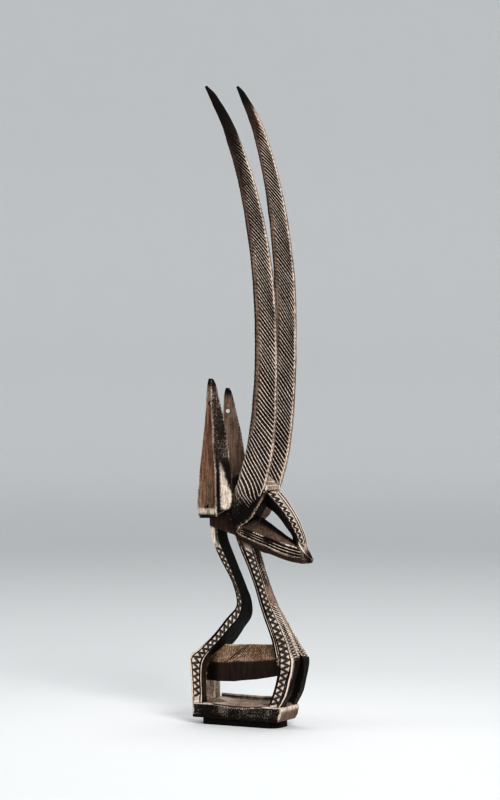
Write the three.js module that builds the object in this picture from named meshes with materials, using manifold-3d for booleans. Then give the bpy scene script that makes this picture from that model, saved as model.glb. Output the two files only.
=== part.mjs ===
// Antelope dance crest: a tall wooden carving on its own plinth, with a dark foot slab below.
// Millimetres, +Z up. The muzzle points to +X and the carving is built about the plane Y = 0.
// The origin is the centre of the foot slab's underside.
import * as THREE from 'three';
import { mergeVertices } from 'three/addons/utils/BufferGeometryUtils.js';
import Module from 'manifold-3d';

const wasm = await Module();
wasm.setup();

// Figure: plinth top to the tip of the shorter horn. Its pose and proportions are shares of this.
const FIGURE_HEIGHT = 738;

// Plinth and legs
const PLINTH_LENGTH = 118;
const PLINTH_WIDTH = 46.5;
const PLINTH_HEIGHT = 18;
const PLINTH_UNDERCUT = 9;
const LEG_WIDTH = 13;
const BACK_LEG_THICKNESS = 13.6;
const FRONT_LEG_THICKNESS = 14.8;
const BACK_LEG_OVERHANG = 3.4;
const FRONT_LEG_SETBACK = 2.8;
const DISH_DEPTH = 3.5;
const RIM_HEIGHT = 7;
const RIM_WIDTH = 4;
const NECK_RIDGE = 2.4;

// Foot slab under the plinth
const FOOT_HEIGHT = 7.8;
const FOOT_END_INSET = 8;
const FOOT_SIDE_INSET = 3.5;
const FOOT_BACK_CORNER = 5;
const FOOT_FRONT_CORNER = 14;
const SEAT_GAP = 0.3;

// Knife work
const ZIGZAG_PITCH = 7.8;
const ZIGZAG_WIDTH = 2.2;
const ZIGZAG_DEPTH = 1.3;
const LINE_WIDTH = 1.4;
const LINE_DEPTH = 0.9;
const BAR_LINE_WIDTH = 1.8;
const BAR_LINE_DEPTH = 1.1;
const HORN_RING_PITCH = 8.6;
const HORN_RING_DEPTH = 0.9;
const HORN_RING_TILT = THREE.MathUtils.degToRad(48);
const HORN_SIDES = 8;

// Ears
const EAR_HOLE_DIAMETER = 5.5;
const EAR_PIN_HOLE_DIAMETER = 3.4;
const EAR_HOLE_SIDES = 8;
const EAR_RIM = 2.6;
const EAR_HOLLOW = 5;
const FAR_EAR_SHARE = 0.933;
const FAR_HORN_SHARE = 1.018;

// Levels and the scale of the figure's drawing, whose heights start at the plinth's top
const DRAWING = { height: 738 };
const UNIT = FIGURE_HEIGHT / DRAWING.height;
const PLINTH_BOTTOM = FOOT_HEIGHT + SEAT_GAP;
const PLINTH_TOP = PLINTH_BOTTOM + PLINTH_HEIGHT;
const HALF_LENGTH = PLINTH_LENGTH / 2;
const HALF_WIDTH = PLINTH_WIDTH / 2;
const SLOT_HALF = HALF_WIDTH - LEG_WIDTH;
const CLEAR = 60;

// Solids from rings, outlines and geometries

function toSolid(geometry) {
  const bare = geometry.clone();
  bare.deleteAttribute('normal');
  bare.deleteAttribute('uv');
  const merged = mergeVertices(bare);
  const vertProperties = new Float32Array(merged.attributes.position.array);
  const triVerts = new Uint32Array(merged.index.array);
  return new wasm.Manifold(new wasm.Mesh({ numProp: 3, vertProperties, triVerts }));
}

function signedVolume(points, index) {
  let volume = 0;
  for (let i = 0; i < index.length; i += 3) {
    const [a, b, c] = [points[index[i]], points[index[i + 1]], points[index[i + 2]]];
    volume += a.dot(b.clone().cross(c)) / 6;
  }
  return volume;
}

// Skin through rings that have the same number of points, closed by a fan at both ends.
function loft(rings) {
  const points = rings.flat();
  const sides = rings[0].length;
  const last = points.length - sides;
  const index = [];
  for (let ring = 0; ring + 1 < rings.length; ring++) {
    for (let i = 0; i < sides; i++) {
      const a = ring * sides + i;
      const b = ring * sides + ((i + 1) % sides);
      index.push(a, b, b + sides, a, b + sides, a + sides);
    }
  }
  for (let i = 1; i + 1 < sides; i++) {
    index.push(0, i + 1, i);
    index.push(last, last + i, last + i + 1);
  }
  if (signedVolume(points, index) < 0) index.reverse();
  const geometry = new THREE.BufferGeometry().setFromPoints(points);
  geometry.setIndex(index);
  return toSolid(geometry);
}

// Prism across Y of an outline drawn in X and Z.
function prismAcross(outline, halfWidth) {
  const shape = new THREE.Shape(outline.map(([x, z]) => new THREE.Vector2(x, z)));
  const geometry = new THREE.ExtrudeGeometry(shape, { depth: 2 * halfWidth, bevelEnabled: false });
  geometry.rotateX(Math.PI / 2);
  geometry.translate(0, halfWidth, 0);
  return toSolid(geometry);
}

// Prism along X of an outline drawn in Y and Z.
function prismAlong(outline, fromX, toX) {
  const ring = (x) => outline.map(([y, z]) => new THREE.Vector3(x, y, z));
  return loft([ring(fromX), ring(toX)]);
}

function mirrored(solid) {
  return solid.mirror([0, 1, 0]);
}

function join(solids) {
  return solids.reduce((whole, solid) => whole.add(solid));
}

// Point of the figure's drawing: x along the sagittal plane, z above the plinth's top.
function figurePoint(x, y, z) {
  return new THREE.Vector3(x * UNIT, y * UNIT, PLINTH_TOP + z * UNIT);
}

// V-shaped knife cut along points on a surface, with the surface's outward normal at each.
function knifeCut(points, normals, width, depth) {
  const lift = 0.5;
  const reach = (width / 2) * (1 + lift / depth);
  const rings = points.map((point, i) => {
    const before = points[Math.max(i - 1, 0)];
    const after = points[Math.min(i + 1, points.length - 1)];
    const into = point.clone().sub(before).normalize();
    const out = after.clone().sub(point).normalize();
    const along = into.clone().add(out).normalize();
    const stretch = 1 / Math.max(along.dot(i > 0 ? into : out), 0.35);
    const across = normals[i].clone().cross(along).normalize().multiplyScalar(reach * stretch);
    const top = point.clone().addScaledVector(normals[i], lift);
    return [
      top.clone().add(across),
      top.clone().sub(across),
      point.clone().addScaledVector(normals[i], -depth),
    ];
  });
  return loft(rings);
}

// Members: upright ribbons between a back edge and a front edge, each edge point holding
// its half width in Y. The curves share one parameter from top to bottom.

function makeMember(stations) {
  const back = new THREE.CatmullRomCurve3(stations.map((s) => s.back), false, 'catmullrom', 0.5);
  const front = new THREE.CatmullRomCurve3(stations.map((s) => s.front), false, 'catmullrom', 0.5);
  return { back, front, spans: stations.length - 1 };
}

function onFace(member, t, share, side) {
  const point = member.back.getPoint(t).lerp(member.front.getPoint(t), share);
  return new THREE.Vector3(point.x, side * point.y, point.z);
}

function memberSolid(member, ridge) {
  const rings = [];
  for (let i = 0; i <= member.spans; i++) {
    const t = i / member.spans;
    const backPoint = member.back.getPoint(t);
    const frontPoint = member.front.getPoint(t);
    const forward = frontPoint.clone().sub(backPoint).setY(0).normalize();
    const spine = frontPoint.clone().setY(0).addScaledVector(forward, ridge);
    rings.push([
      new THREE.Vector3(backPoint.x, -backPoint.y, backPoint.z),
      new THREE.Vector3(frontPoint.x, -frontPoint.y, frontPoint.z),
      spine,
      frontPoint,
      backPoint,
    ]);
  }
  return loft(rings);
}

// Parameters from t0 to t1 at even steps of length along the member's middle line.
function evenSteps(member, t0, t1, step) {
  const samples = 200;
  const lengths = [0];
  let previous = onFace(member, t0, 0.5, 1);
  for (let i = 1; i <= samples; i++) {
    const next = onFace(member, t0 + ((t1 - t0) * i) / samples, 0.5, 1);
    lengths.push(lengths[i - 1] + next.distanceTo(previous));
    previous = next;
  }
  const total = lengths[samples];
  const count = Math.max(2, Math.round(total / step));
  const steps = [];
  for (let k = 0; k <= count; k++) {
    const goal = (total * k) / count;
    const hit = Math.max(1, lengths.findIndex((length) => length >= goal - 1e-6));
    const rest = (goal - lengths[hit - 1]) / Math.max(lengths[hit] - lengths[hit - 1], 1e-6);
    steps.push(t0 + ((t1 - t0) * (hit - 1 + rest)) / samples);
  }
  return steps;
}

function zigzagOnMember(member, t0, t1, low, high, side) {
  const normal = new THREE.Vector3(0, side, 0);
  const steps = evenSteps(member, t0, t1, ZIGZAG_PITCH / 2);
  const points = steps.map((t, i) => onFace(member, t, i % 2 ? high : low, side));
  return knifeCut(points, points.map(() => normal), ZIGZAG_WIDTH, ZIGZAG_DEPTH);
}

function lineOnMember(member, t0, t1, share, side) {
  const normal = new THREE.Vector3(0, side, 0);
  const count = member.spans;
  const points = [];
  for (let i = 0; i <= count; i++) {
    points.push(onFace(member, t0 + ((t1 - t0) * i) / count, share, side));
  }
  return knifeCut(points, points.map(() => normal), LINE_WIDTH, LINE_DEPTH);
}

// Back member: from under the head in an S down to the back legs
const backFoot = -HALF_LENGTH - BACK_LEG_OVERHANG;
const backMember = makeMember([
  { back: figurePoint(-45, 12, 236), front: figurePoint(-32, 12, 236) },
  { back: figurePoint(-44, 12, 206), front: figurePoint(-33.5, 12, 206.5) },
  { back: figurePoint(-39.8, 12, 191.6), front: figurePoint(-30.3, 12, 191.8) },
  { back: figurePoint(-27, 12, 167), front: figurePoint(-20.4, 12, 167.3) },
  { back: figurePoint(-14, 12, 144.7), front: figurePoint(-6.2, 12, 138.5) },
  { back: figurePoint(-7.8, 12.4, 126.5), front: figurePoint(0.2, 12.8, 122) },
  { back: figurePoint(-8, 14, 114.5), front: figurePoint(-1.5, 16.4, 104) },
  { back: figurePoint(-19.5, 17.4, 101), front: figurePoint(-14, 20, 88) },
  { back: figurePoint(-36, 21, 80.5), front: figurePoint(-27.5, 22.8, 71.5) },
  { back: figurePoint(-54, 22.8, 64), front: figurePoint(-43, 23.2, 57) },
  { back: edgePoint(-66 * UNIT, 55), front: edgePoint(-48 * UNIT, 48) },
  { back: edgePoint(-65.4 * UNIT, 40), front: edgePoint(-49.6 * UNIT, 36) },
  { back: edgePoint(backFoot, 0), front: edgePoint(backFoot + BACK_LEG_THICKNESS, 0) },
]);

// Front member: the neck, leaning back from the front legs up to the head
const frontFoot = HALF_LENGTH - FRONT_LEG_SETBACK;
const frontMember = makeMember([
  { back: figurePoint(-22, 9, 224), front: figurePoint(2, 9, 214) },
  { back: figurePoint(-13, 9, 203), front: figurePoint(10.5, 9, 193) },
  { back: figurePoint(3.6, 9, 168), front: figurePoint(18.8, 9, 167) },
  { back: figurePoint(12.6, 9, 147.3), front: figurePoint(25.5, 9, 147.7) },
  { back: figurePoint(23.5, 10.8, 118), front: figurePoint(37.6, 10.8, 118.4) },
  { back: figurePoint(30.5, 13, 102.6), front: figurePoint(46.5, 13, 103.6) },
  { back: figurePoint(41, 15.5, 80), front: figurePoint(59, 15.5, 81) },
  { back: figurePoint(46, 19, 67), front: figurePoint(65.6, 19, 67.8) },
  { back: edgePoint(51 * UNIT, 54), front: edgePoint(72.2 * UNIT, 56.5) },
  { back: edgePoint(54 * UNIT, 41), front: edgePoint(72.4 * UNIT, 42) },
  { back: edgePoint(53 * UNIT, 30), front: edgePoint(70.6 * UNIT, 30.5) },
  { back: edgePoint(47 * UNIT, 14.5), front: edgePoint(65 * UNIT, 15) },
  { back: edgePoint(frontFoot - FRONT_LEG_THICKNESS, 0), front: edgePoint(frontFoot, 0) },
]);

// Leg point: as wide as the plinth, at a height z of the drawing.
function edgePoint(x, z) {
  return new THREE.Vector3(x, HALF_WIDTH, PLINTH_TOP + z * UNIT);
}

function memberCarving() {
  const cuts = [];
  for (const side of [-1, 1]) {
    cuts.push(zigzagOnMember(backMember, 0.075, 0.985, 0.26, 0.74, side));
    cuts.push(lineOnMember(backMember, 0.075, 0.985, 0.93, side));
    cuts.push(zigzagOnMember(frontMember, 0.13, 0.985, 0.5, 0.84, side));
    cuts.push(lineOnMember(frontMember, 0.1, 0.985, 0.34, side));
  }
  return cuts;
}

// Slot between the two legs of a pair, open towards the end and pointed at its top
const FRONT_SLOT = { foot: frontFoot, shoulder: 34, apex: 66 };
const BACK_SLOT = { foot: backFoot, shoulder: 30, apex: 60 };

function legSlot({ foot, shoulder, apex }) {
  const outline = [
    [-SLOT_HALF, PLINTH_TOP - DISH_DEPTH],
    [SLOT_HALF, PLINTH_TOP - DISH_DEPTH],
    [SLOT_HALF, PLINTH_TOP + shoulder * UNIT],
    [0.5, PLINTH_TOP + apex * UNIT],
    [-0.5, PLINTH_TOP + apex * UNIT],
    [-SLOT_HALF, PLINTH_TOP + shoulder * UNIT],
  ];
  return prismAlong(outline, foot - CLEAR, foot + CLEAR);
}

// Body: a ridged bar between the two pairs of legs, rising a little to the front
function body() {
  const section = (x, half, low, shoulder, ridge) => [
    figurePoint(x, -half, low),
    figurePoint(x, -half, shoulder),
    figurePoint(x, 0, ridge),
    figurePoint(x, half, shoulder),
    figurePoint(x, half, low),
  ];
  return loft([
    section(-56, 8.5, 25.5, 46.5, 60),
    section(-46, 9, 25.5, 46.8, 66),
    section(-34, 13, 27, 47.6, 70),
    section(-10, 14, 29.5, 50, 71),
    section(20, 14.5, 33, 53, 72),
    section(50, 15, 36.5, 56.5, 73),
    section(58, 15, 37, 57, 70),
  ]);
}

// Plinth: a plank whose front end is undercut, with a hollow top whose far rim stands higher
function plinth() {
  const end = HALF_LENGTH;
  const block = prismAcross([
    [-end, PLINTH_BOTTOM],
    [end - PLINTH_UNDERCUT, PLINTH_BOTTOM],
    [end - PLINTH_UNDERCUT / 3, PLINTH_BOTTOM + PLINTH_HEIGHT / 3],
    [end, PLINTH_TOP - PLINTH_HEIGHT / 6],
    [end - 1, PLINTH_TOP],
    [-end, PLINTH_TOP],
  ], HALF_WIDTH);
  const rimEnd = end - BACK_LEG_THICKNESS;
  const rim = loft([HALF_WIDTH - RIM_WIDTH, HALF_WIDTH].map((y) => [
    new THREE.Vector3(-rimEnd, y, PLINTH_TOP - 1),
    new THREE.Vector3(-rimEnd, y, PLINTH_TOP + RIM_HEIGHT),
    new THREE.Vector3(0, y, PLINTH_TOP + RIM_HEIGHT - 0.6),
    new THREE.Vector3(rimEnd, y, PLINTH_TOP + RIM_HEIGHT),
    new THREE.Vector3(rimEnd, y, PLINTH_TOP - 1),
  ]));
  const bank = prismAlong([
    [-SLOT_HALF, PLINTH_TOP - 1],
    [HALF_WIDTH - 1, PLINTH_TOP - 1],
    [HALF_WIDTH - 1, PLINTH_TOP + RIM_HEIGHT - 4],
  ], -rimEnd, rimEnd);
  const scoopEnd = end - BACK_LEG_THICKNESS + 1;
  const scoop = [];
  for (let i = 0; i <= 8; i++) {
    const share = i / 8;
    const x = -scoopEnd + 2 * scoopEnd * share;
    const sag = DISH_DEPTH * Math.sin(Math.PI * share);
    scoop.push([
      new THREE.Vector3(x, -HALF_WIDTH - 5, PLINTH_TOP + 0.4 - sag),
      new THREE.Vector3(x, HALF_WIDTH - RIM_WIDTH, PLINTH_TOP + 3.2 - 0.5 * sag),
      new THREE.Vector3(x, HALF_WIDTH - RIM_WIDTH, PLINTH_TOP + CLEAR),
      new THREE.Vector3(x, -HALF_WIDTH - 5, PLINTH_TOP + CLEAR),
    ]);
  }
  return join([block, rim, bank]).subtract(loft(scoop));
}

// Head: throat, skull and the wedge of the muzzle
function throat() {
  const outline = [
    [-45, 228], [-44, 212], [-33.8, 208.5], [-13, 202.5], [6, 196], [20, 214],
    [18, 250], [-12, 262], [-34, 250],
  ];
  return prismAcross(outline.map(([x, z]) => [x * UNIT, PLINTH_TOP + z * UNIT]), 13 * UNIT);
}

function skull() {
  const outline = [
    [-9, 206], [1, 211.5], [36, 254], [35.5, 264], [24, 276], [2, 279], [-16, 266], [-20, 232],
  ];
  const centre = [6, 240];
  const ring = (y, shrink) => outline.map(([x, z]) => figurePoint(
    centre[0] + (x - centre[0]) * shrink, y, centre[1] + (z - centre[1]) * shrink));
  return loft([ring(-20.5, 0.9), ring(-17, 1), ring(17, 1), ring(20.5, 0.9)]);
}

// Muzzle sections along X: top, knuckle and bottom heights, with the half widths above and below
const MUZZLE = [
  [-10, 236, 211, 202, 13, 9],
  [0, 254, 203, 195.5, 20, 9],
  [24, 262, 194, 182.6, 20.5, 9],
  [35, 257, 190, 180, 20, 9],
  [52, 240, 183, 175, 17.5, 8.5],
  [61.5, 224, 179.5, 172, 15.5, 8],
  [68.4, 212, 177.5, 170.8, 14, 7.5],
  [74.2, 200, 176.5, 170, 12, 6.5],
  [77.4, 190, 176, 169.6, 10, 5.5],
  [85.5, 178, 174.5, 170, 4.6, 2.8],
  [88.4, 175.5, 174, 172, 2.6, 1.6],
];

// Value of one column of the muzzle's sections at a drawn x
function muzzleAt(column, x) {
  const next = Math.min(MUZZLE.length - 1, Math.max(1, MUZZLE.findIndex((row) => row[0] >= x)));
  const [a, b] = [MUZZLE[next - 1], MUZZLE[next]];
  return THREE.MathUtils.mapLinear(x, a[0], b[0], a[column], b[column]);
}

function muzzleWedge() {
  return loft(MUZZLE.map(([x, top, knuckle, bottom, half, halfBelow]) => [
    figurePoint(x, -halfBelow, bottom),
    figurePoint(x, -half, knuckle),
    figurePoint(x, -half, top),
    figurePoint(x, half, top),
    figurePoint(x, half, knuckle),
    figurePoint(x, halfBelow, bottom),
  ]));
}

// Window through the muzzle: wide at both faces and narrow in the middle
function muzzleWindow() {
  const pairs = [
    { face: [34, 252.5], middle: [30, 233.5] },
    { face: [45.5, 243.5], middle: [37, 229.6] },
    { face: [55, 231.4], middle: [43.9, 223.2] },
    { face: [64.4, 215.6], middle: [52.8, 212.4] },
    { face: [72.8, 198.6], middle: [60.4, 202.8] },
    { face: [74.4, 188.5], middle: [62.3, 196.5] },
    { face: [56.2, 194.3], middle: [52.5, 203] },
    { face: [37.6, 200.2], middle: [42.5, 209.6] },
    { face: [19, 206.1], middle: [32.4, 216.2] },
    { face: [0.5, 212], middle: [22.4, 222.8] },
    { face: [17, 232], middle: [26, 228.2] },
  ];
  const beyond = 1.15;
  const ring = (side) => pairs.map(({ face, middle }) => figurePoint(
    middle[0] + (face[0] - middle[0]) * beyond,
    side * muzzleAt(4, face[0]) * beyond,
    middle[1] + (face[1] - middle[1]) * beyond));
  const waist = pairs.map(({ middle }) => figurePoint(middle[0], 0, middle[1]));
  return loft([ring(-1), waist, ring(1)]);
}

// Long cuts on both faces of the jaw, and the zigzag up the forehead
function muzzleCarving() {
  const cuts = [];
  for (const side of [-1, 1]) {
    for (const share of [0.16, 0.46, 0.76]) {
      const points = [4, 28, 52, 69.6, 80].map((x) => {
        const top = THREE.MathUtils.mapLinear(x, 0.5, 74.8, 212, 187.5);
        return figurePoint(x, side * muzzleAt(4, x),
          THREE.MathUtils.lerp(top, muzzleAt(2, x), share));
      });
      const normal = new THREE.Vector3(0, side, 0);
      cuts.push(knifeCut(points, points.map(() => normal), BAR_LINE_WIDTH, BAR_LINE_DEPTH));
    }
  }
  const ridge = MUZZLE.slice(3, 9).map((row) => new THREE.Vector3(row[0], row[4], row[1]));
  const crest = new THREE.CatmullRomCurve3(ridge);
  const count = 2 * Math.round((crest.getLength() * UNIT) / ZIGZAG_PITCH);
  const crestPoint = (i, share) => {
    const point = crest.getPointAt(i / count);
    return figurePoint(point.x, point.y * share, point.z);
  };
  const outward = (i) => {
    const tangent = crest.getTangentAt(i / count);
    return new THREE.Vector3(-tangent.z, 0, tangent.x).normalize();
  };
  const zigzag = [];
  const normals = [];
  for (let i = 0; i <= count; i++) {
    zigzag.push(crestPoint(i, i % 2 ? 0.42 : -0.42));
    normals.push(outward(i));
  }
  cuts.push(knifeCut(zigzag, normals, ZIGZAG_WIDTH, ZIGZAG_DEPTH));
  for (const share of [-0.72, 0.72]) {
    const line = [];
    const lineNormals = [];
    for (let i = 0; i <= count; i += 3) {
      line.push(crestPoint(i, share));
      lineNormals.push(outward(i));
    }
    cuts.push(knifeCut(line, lineNormals, LINE_WIDTH, LINE_DEPTH));
  }
  return cuts;
}

// Ears: three-edged blades, hollow on the outer face. Edges as [x, y] at drawn heights.
const EAR = [
  { z: 225, back: [-53.5, -22.5], front: [-23.5, -33], inner: [-15, -20] },
  { z: 236, back: [-56.2, -22], front: [-22.5, -34], inner: [-9.8, -20] },
  { z: 275, back: [-53.6, -22], front: [-24.2, -33], inner: [-10.4, -20] },
  { z: 316, back: [-48.4, -22], front: [-28.9, -31], inner: [-15.2, -19.3] },
  { z: 354, back: [-45.2, -21], front: [-33, -27.4], inner: [-23.4, -19.2] },
  { z: 374, back: [-42.6, -21.4], front: [-34.8, -25.2], inner: [-29.6, -19.8] },
  { z: 389, back: [-39.6, -22], front: [-37.2, -23], inner: [-35.8, -21] },
];

function earPoint([x, y], z, share) {
  const foot = EAR[0].z;
  return figurePoint(x, y, foot + (z - foot) * share);
}

// Point on the ear's hollow face: along from back to front, deep inwards, in millimetres
function onEarFace({ back, front }, along, deep) {
  const [dx, dy] = [front[0] - back[0], front[1] - back[1]];
  const length = Math.hypot(dx, dy);
  return [
    back[0] + dx * along - (dy * deep) / length,
    back[1] + dy * along + (dx * deep) / length,
  ];
}

function ear(share) {
  const blade = loft(EAR.map(({ z, back, front, inner }) => {
    const bulge = [(back[0] + inner[0]) / 2, Math.max(back[1], inner[1]) + 1.5];
    return [back, front, inner, bulge].map((corner) => earPoint(corner, z, share));
  }));
  const hollow = loft(EAR.slice(1, 6).map((level) => {
    const width = Math.hypot(level.front[0] - level.back[0], level.front[1] - level.back[1]);
    const rim = Math.min(EAR_RIM / UNIT / width, 0.3);
    const deep = Math.min(EAR_HOLLOW / UNIT, width * 0.22);
    return [
      onEarFace(level, rim, -4), onEarFace(level, rim, 0),
      onEarFace(level, 0.32, deep * 0.7), onEarFace(level, 0.68, deep),
      onEarFace(level, 1 - rim * 0.9, deep * 0.3), onEarFace(level, 1 - rim * 0.8, -4),
    ].map((corner) => earPoint(corner, level.z + (level === EAR[1] ? 3 : 0), share));
  }));
  return blade.subtract(hollow)
    .subtract(earHole(4.25, 0.5, EAR_HOLE_DIAMETER, 20, share))
    .subtract(earHole(1.12, 0.45, EAR_PIN_HOLE_DIAMETER, 11, share));
}

// Round hole square to the hollow face, at a level of the ear's drawing
function earHole(level, along, diameter, deep, share) {
  const low = Math.floor(level);
  const part = level - low;
  const mix = (a, b) => a.map((value, i) => value + (b[i] - value) * part);
  const [a, b] = [EAR[low], EAR[low + 1]];
  const here = { back: mix(a.back, b.back), front: mix(a.front, b.front) };
  const z = a.z + (b.z - a.z) * part;
  const from = earPoint(onEarFace(here, along, -6), z, share);
  const to = earPoint(onEarFace(here, along, deep), z, share);
  const geometry = new THREE.CylinderGeometry(diameter / 2, diameter / 2, from.distanceTo(to),
    EAR_HOLE_SIDES);
  const direction = to.clone().sub(from).normalize();
  const turn = new THREE.Quaternion().setFromUnitVectors(new THREE.Vector3(0, 1, 0), direction);
  geometry.applyQuaternion(turn);
  const middle = from.add(to).multiplyScalar(0.5);
  geometry.translate(middle.x, middle.y, middle.z);
  return toSolid(geometry);
}

// Horns: the centre line bows forward and its tips lean back and outwards.
// Each row gives x, y and height of the centre, and the half depth in the sagittal plane.
const HORN = [
  [-7.2, 12, 217.4, 8.6],
  [-1.9, 13, 232.4, 13.6],
  [8.5, 16, 250, 16.4],
  [19, 19.2, 268, 17.8],
  [30.4, 20.8, 311, 17.2],
  [37.2, 22.6, 368, 15.4],
  [39.4, 24.4, 424, 14.2],
  [37.7, 26.6, 492, 13.6],
  [29.8, 29.2, 559, 12.2],
  [15.4, 32.4, 627, 10],
  [-4.4, 35.8, 685, 7.4],
  [-23.6, 38, 722, 4.6],
  [-34.4, 39, 737.4, 1.6],
];
const HORN_LATERAL_SHARE = 0.77;
const HORN_START = 0.06;
const HORN_SMOOTH_FROM = 0.8;

function horn(share) {
  const root = HORN[3][2];
  const stretch = (z) => (z > root ? root + (z - root) * share : z);
  const centre = new THREE.CatmullRomCurve3(
    HORN.map(([x, y, z]) => figurePoint(x, -y, stretch(z))), false, 'catmullrom', 0.5);
  const girth = new THREE.CatmullRomCurve3(
    HORN.map(([, , , half]) => new THREE.Vector3(half * UNIT, 0, 0)), false, 'catmullrom', 0.5);
  const length = centre.getLength();
  const count = 2 * Math.round(length / HORN_RING_PITCH);
  const rings = [];
  for (let i = 0; i <= count; i++) {
    const u = i / count;
    const smooth = u > HORN_SMOOTH_FROM;
    if (smooth && i % 5 && i !== count) continue;
    const carved = !smooth && u > HORN_START && i % 2 === 1;
    rings.push(hornRing(centre, girth, u, carved ? HORN_RING_DEPTH : 0));
  }
  return loft(rings);
}

function hornRing(centre, girth, u, groove) {
  const point = centre.getPointAt(u);
  const tangent = centre.getTangentAt(u);
  const half = girth.getPoint(centre.getUtoTmapping(u)).x;
  const forward = new THREE.Vector3(tangent.z, 0, -tangent.x).normalize();
  const lateral = tangent.clone().cross(forward).normalize();
  const fade = THREE.MathUtils.smoothstep(1 - u, 0, 0.2);
  const tilt = Math.tan(HORN_RING_TILT) * fade;
  const ring = [];
  for (let k = 0; k < HORN_SIDES; k++) {
    const angle = (2 * Math.PI * k) / HORN_SIDES;
    const inset = k === 0 ? 0 : groove;
    const reach = (half - inset) * Math.cos(angle);
    const spread = (half * HORN_LATERAL_SHARE - inset) * Math.sin(angle);
    ring.push(point.clone()
      .addScaledVector(forward, reach)
      .addScaledVector(tangent, -reach * tilt)
      .addScaledVector(lateral, spread));
  }
  return ring;
}

// The whole carving, one piece of wood
function carving() {
  const front = memberSolid(frontMember, NECK_RIDGE).subtract(legSlot(FRONT_SLOT));
  const back = memberSolid(backMember, 0).subtract(legSlot(BACK_SLOT));
  const head = join([throat(), skull(), muzzleWedge()]).subtract(muzzleWindow());
  const upper = join([
    head,
    horn(1),
    mirrored(horn(FAR_HORN_SHARE)),
    ear(1),
    mirrored(ear(FAR_EAR_SHARE)),
  ]);
  const frame = join([front, back, body()]);
  const carved = [...memberCarving(), ...muzzleCarving()]
    .reduce((solid, cut) => solid.subtract(cut), join([frame, upper]));
  return carved.add(plinth());
}

// Foot slab: a thin dark pad with rounded corners, set in under the plinth
function footSlab() {
  const left = -HALF_LENGTH + FOOT_END_INSET;
  const right = HALF_LENGTH - PLINTH_UNDERCUT;
  const half = HALF_WIDTH - FOOT_SIDE_INSET;
  const quarter = Math.PI / 2;
  const shape = new THREE.Shape();
  const corner = (x, y, radius, start) =>
    shape.absarc(x, y, radius, start, start + quarter);
  corner(right - FOOT_FRONT_CORNER, FOOT_FRONT_CORNER - half, FOOT_FRONT_CORNER, -quarter);
  corner(right - FOOT_FRONT_CORNER, half - FOOT_FRONT_CORNER, FOOT_FRONT_CORNER, 0);
  corner(left + FOOT_BACK_CORNER, half - FOOT_BACK_CORNER, FOOT_BACK_CORNER, quarter);
  corner(left + FOOT_BACK_CORNER, FOOT_BACK_CORNER - half, FOOT_BACK_CORNER, 2 * quarter);
  return new THREE.ExtrudeGeometry(shape, {
    depth: FOOT_HEIGHT,
    bevelEnabled: false,
    curveSegments: 4,
  });
}

function fromSolid(solid) {
  const mesh = solid.getMesh();
  const geometry = new THREE.BufferGeometry();
  geometry.setAttribute('position', new THREE.BufferAttribute(mesh.vertProperties, 3));
  geometry.setIndex(new THREE.BufferAttribute(mesh.triVerts, 1));
  geometry.computeVertexNormals();
  return geometry;
}

function piece(name, geometry, color, roughness) {
  const material = new THREE.MeshStandardMaterial({ color, roughness, metalness: 0 });
  const mesh = new THREE.Mesh(geometry, material);
  mesh.name = name;
  return mesh;
}

const crest = new THREE.Group();
crest.add(piece('antelope_carving', fromSolid(carving()), 0x5a4436, 0.62));
crest.add(piece('foot_slab', footSlab(), 0x141210, 0.8));

export default crest;
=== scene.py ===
# Carved antelope dance crest, laid out as a Blender add-on. The carving is rebuilt at full detail
# from the drawing that its solids follow, with knife work, patina and painted light and shade, on a
# plain pale stage.
import math
import random

import bmesh
import bpy
import numpy as np
from bpy.props import FloatProperty, FloatVectorProperty, IntProperty, PointerProperty
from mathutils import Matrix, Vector, noise
from mathutils.bvhtree import BVHTree


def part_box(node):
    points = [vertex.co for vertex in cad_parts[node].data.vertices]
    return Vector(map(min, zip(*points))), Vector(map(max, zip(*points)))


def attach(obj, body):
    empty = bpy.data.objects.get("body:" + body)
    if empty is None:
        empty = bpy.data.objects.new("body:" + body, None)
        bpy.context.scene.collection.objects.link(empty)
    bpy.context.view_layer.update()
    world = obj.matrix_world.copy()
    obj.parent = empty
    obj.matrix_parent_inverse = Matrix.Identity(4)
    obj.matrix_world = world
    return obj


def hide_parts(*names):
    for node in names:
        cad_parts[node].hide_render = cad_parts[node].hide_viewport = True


bl_info = {
    "name": "Antelope dance crest",
    "version": (1, 0, 0),
    "blender": (4, 5, 0),
    "location": "3D View > Sidebar > Crest",
    "description": "Carves an antelope crest with ringed horns and sets it on a pale stage",
    "category": "Add Mesh",
}

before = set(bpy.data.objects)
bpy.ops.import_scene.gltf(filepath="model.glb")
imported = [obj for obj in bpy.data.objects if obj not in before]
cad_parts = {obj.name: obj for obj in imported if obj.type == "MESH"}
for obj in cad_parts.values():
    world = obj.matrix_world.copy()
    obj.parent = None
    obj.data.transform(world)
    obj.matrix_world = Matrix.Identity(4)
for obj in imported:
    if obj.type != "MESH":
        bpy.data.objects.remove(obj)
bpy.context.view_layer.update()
CARVING_LOW, CARVING_HIGH = (1000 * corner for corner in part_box("antelope_carving"))
SLAB_LOW, SLAB_HIGH = (1000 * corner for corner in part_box("foot_slab"))

# Sizes in millimetres, as the solids have them
PLINTH_HEIGHT = 18
LEG_WIDTH = 13
BACK_LEG_THICKNESS = 13.6
FRONT_LEG_THICKNESS = 14.8
BACK_LEG_OVERHANG = 3.4
FRONT_LEG_SETBACK = 2.8
DISH_DEPTH = 3.5
RIM_HEIGHT = 7
RIM_WIDTH = 4
NECK_RIDGE = 2.4
FOOT_END_INSET = 8
FOOT_SIDE_INSET = 3.5
EAR_HOLE_DIAMETER = 5.5
EAR_PIN_HOLE_DIAMETER = 3.4
EAR_RIM = 2.6
EAR_HOLLOW = 5
FAR_EAR_SHARE = 0.933
FAR_HORN_SHARE = 1.018

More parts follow.
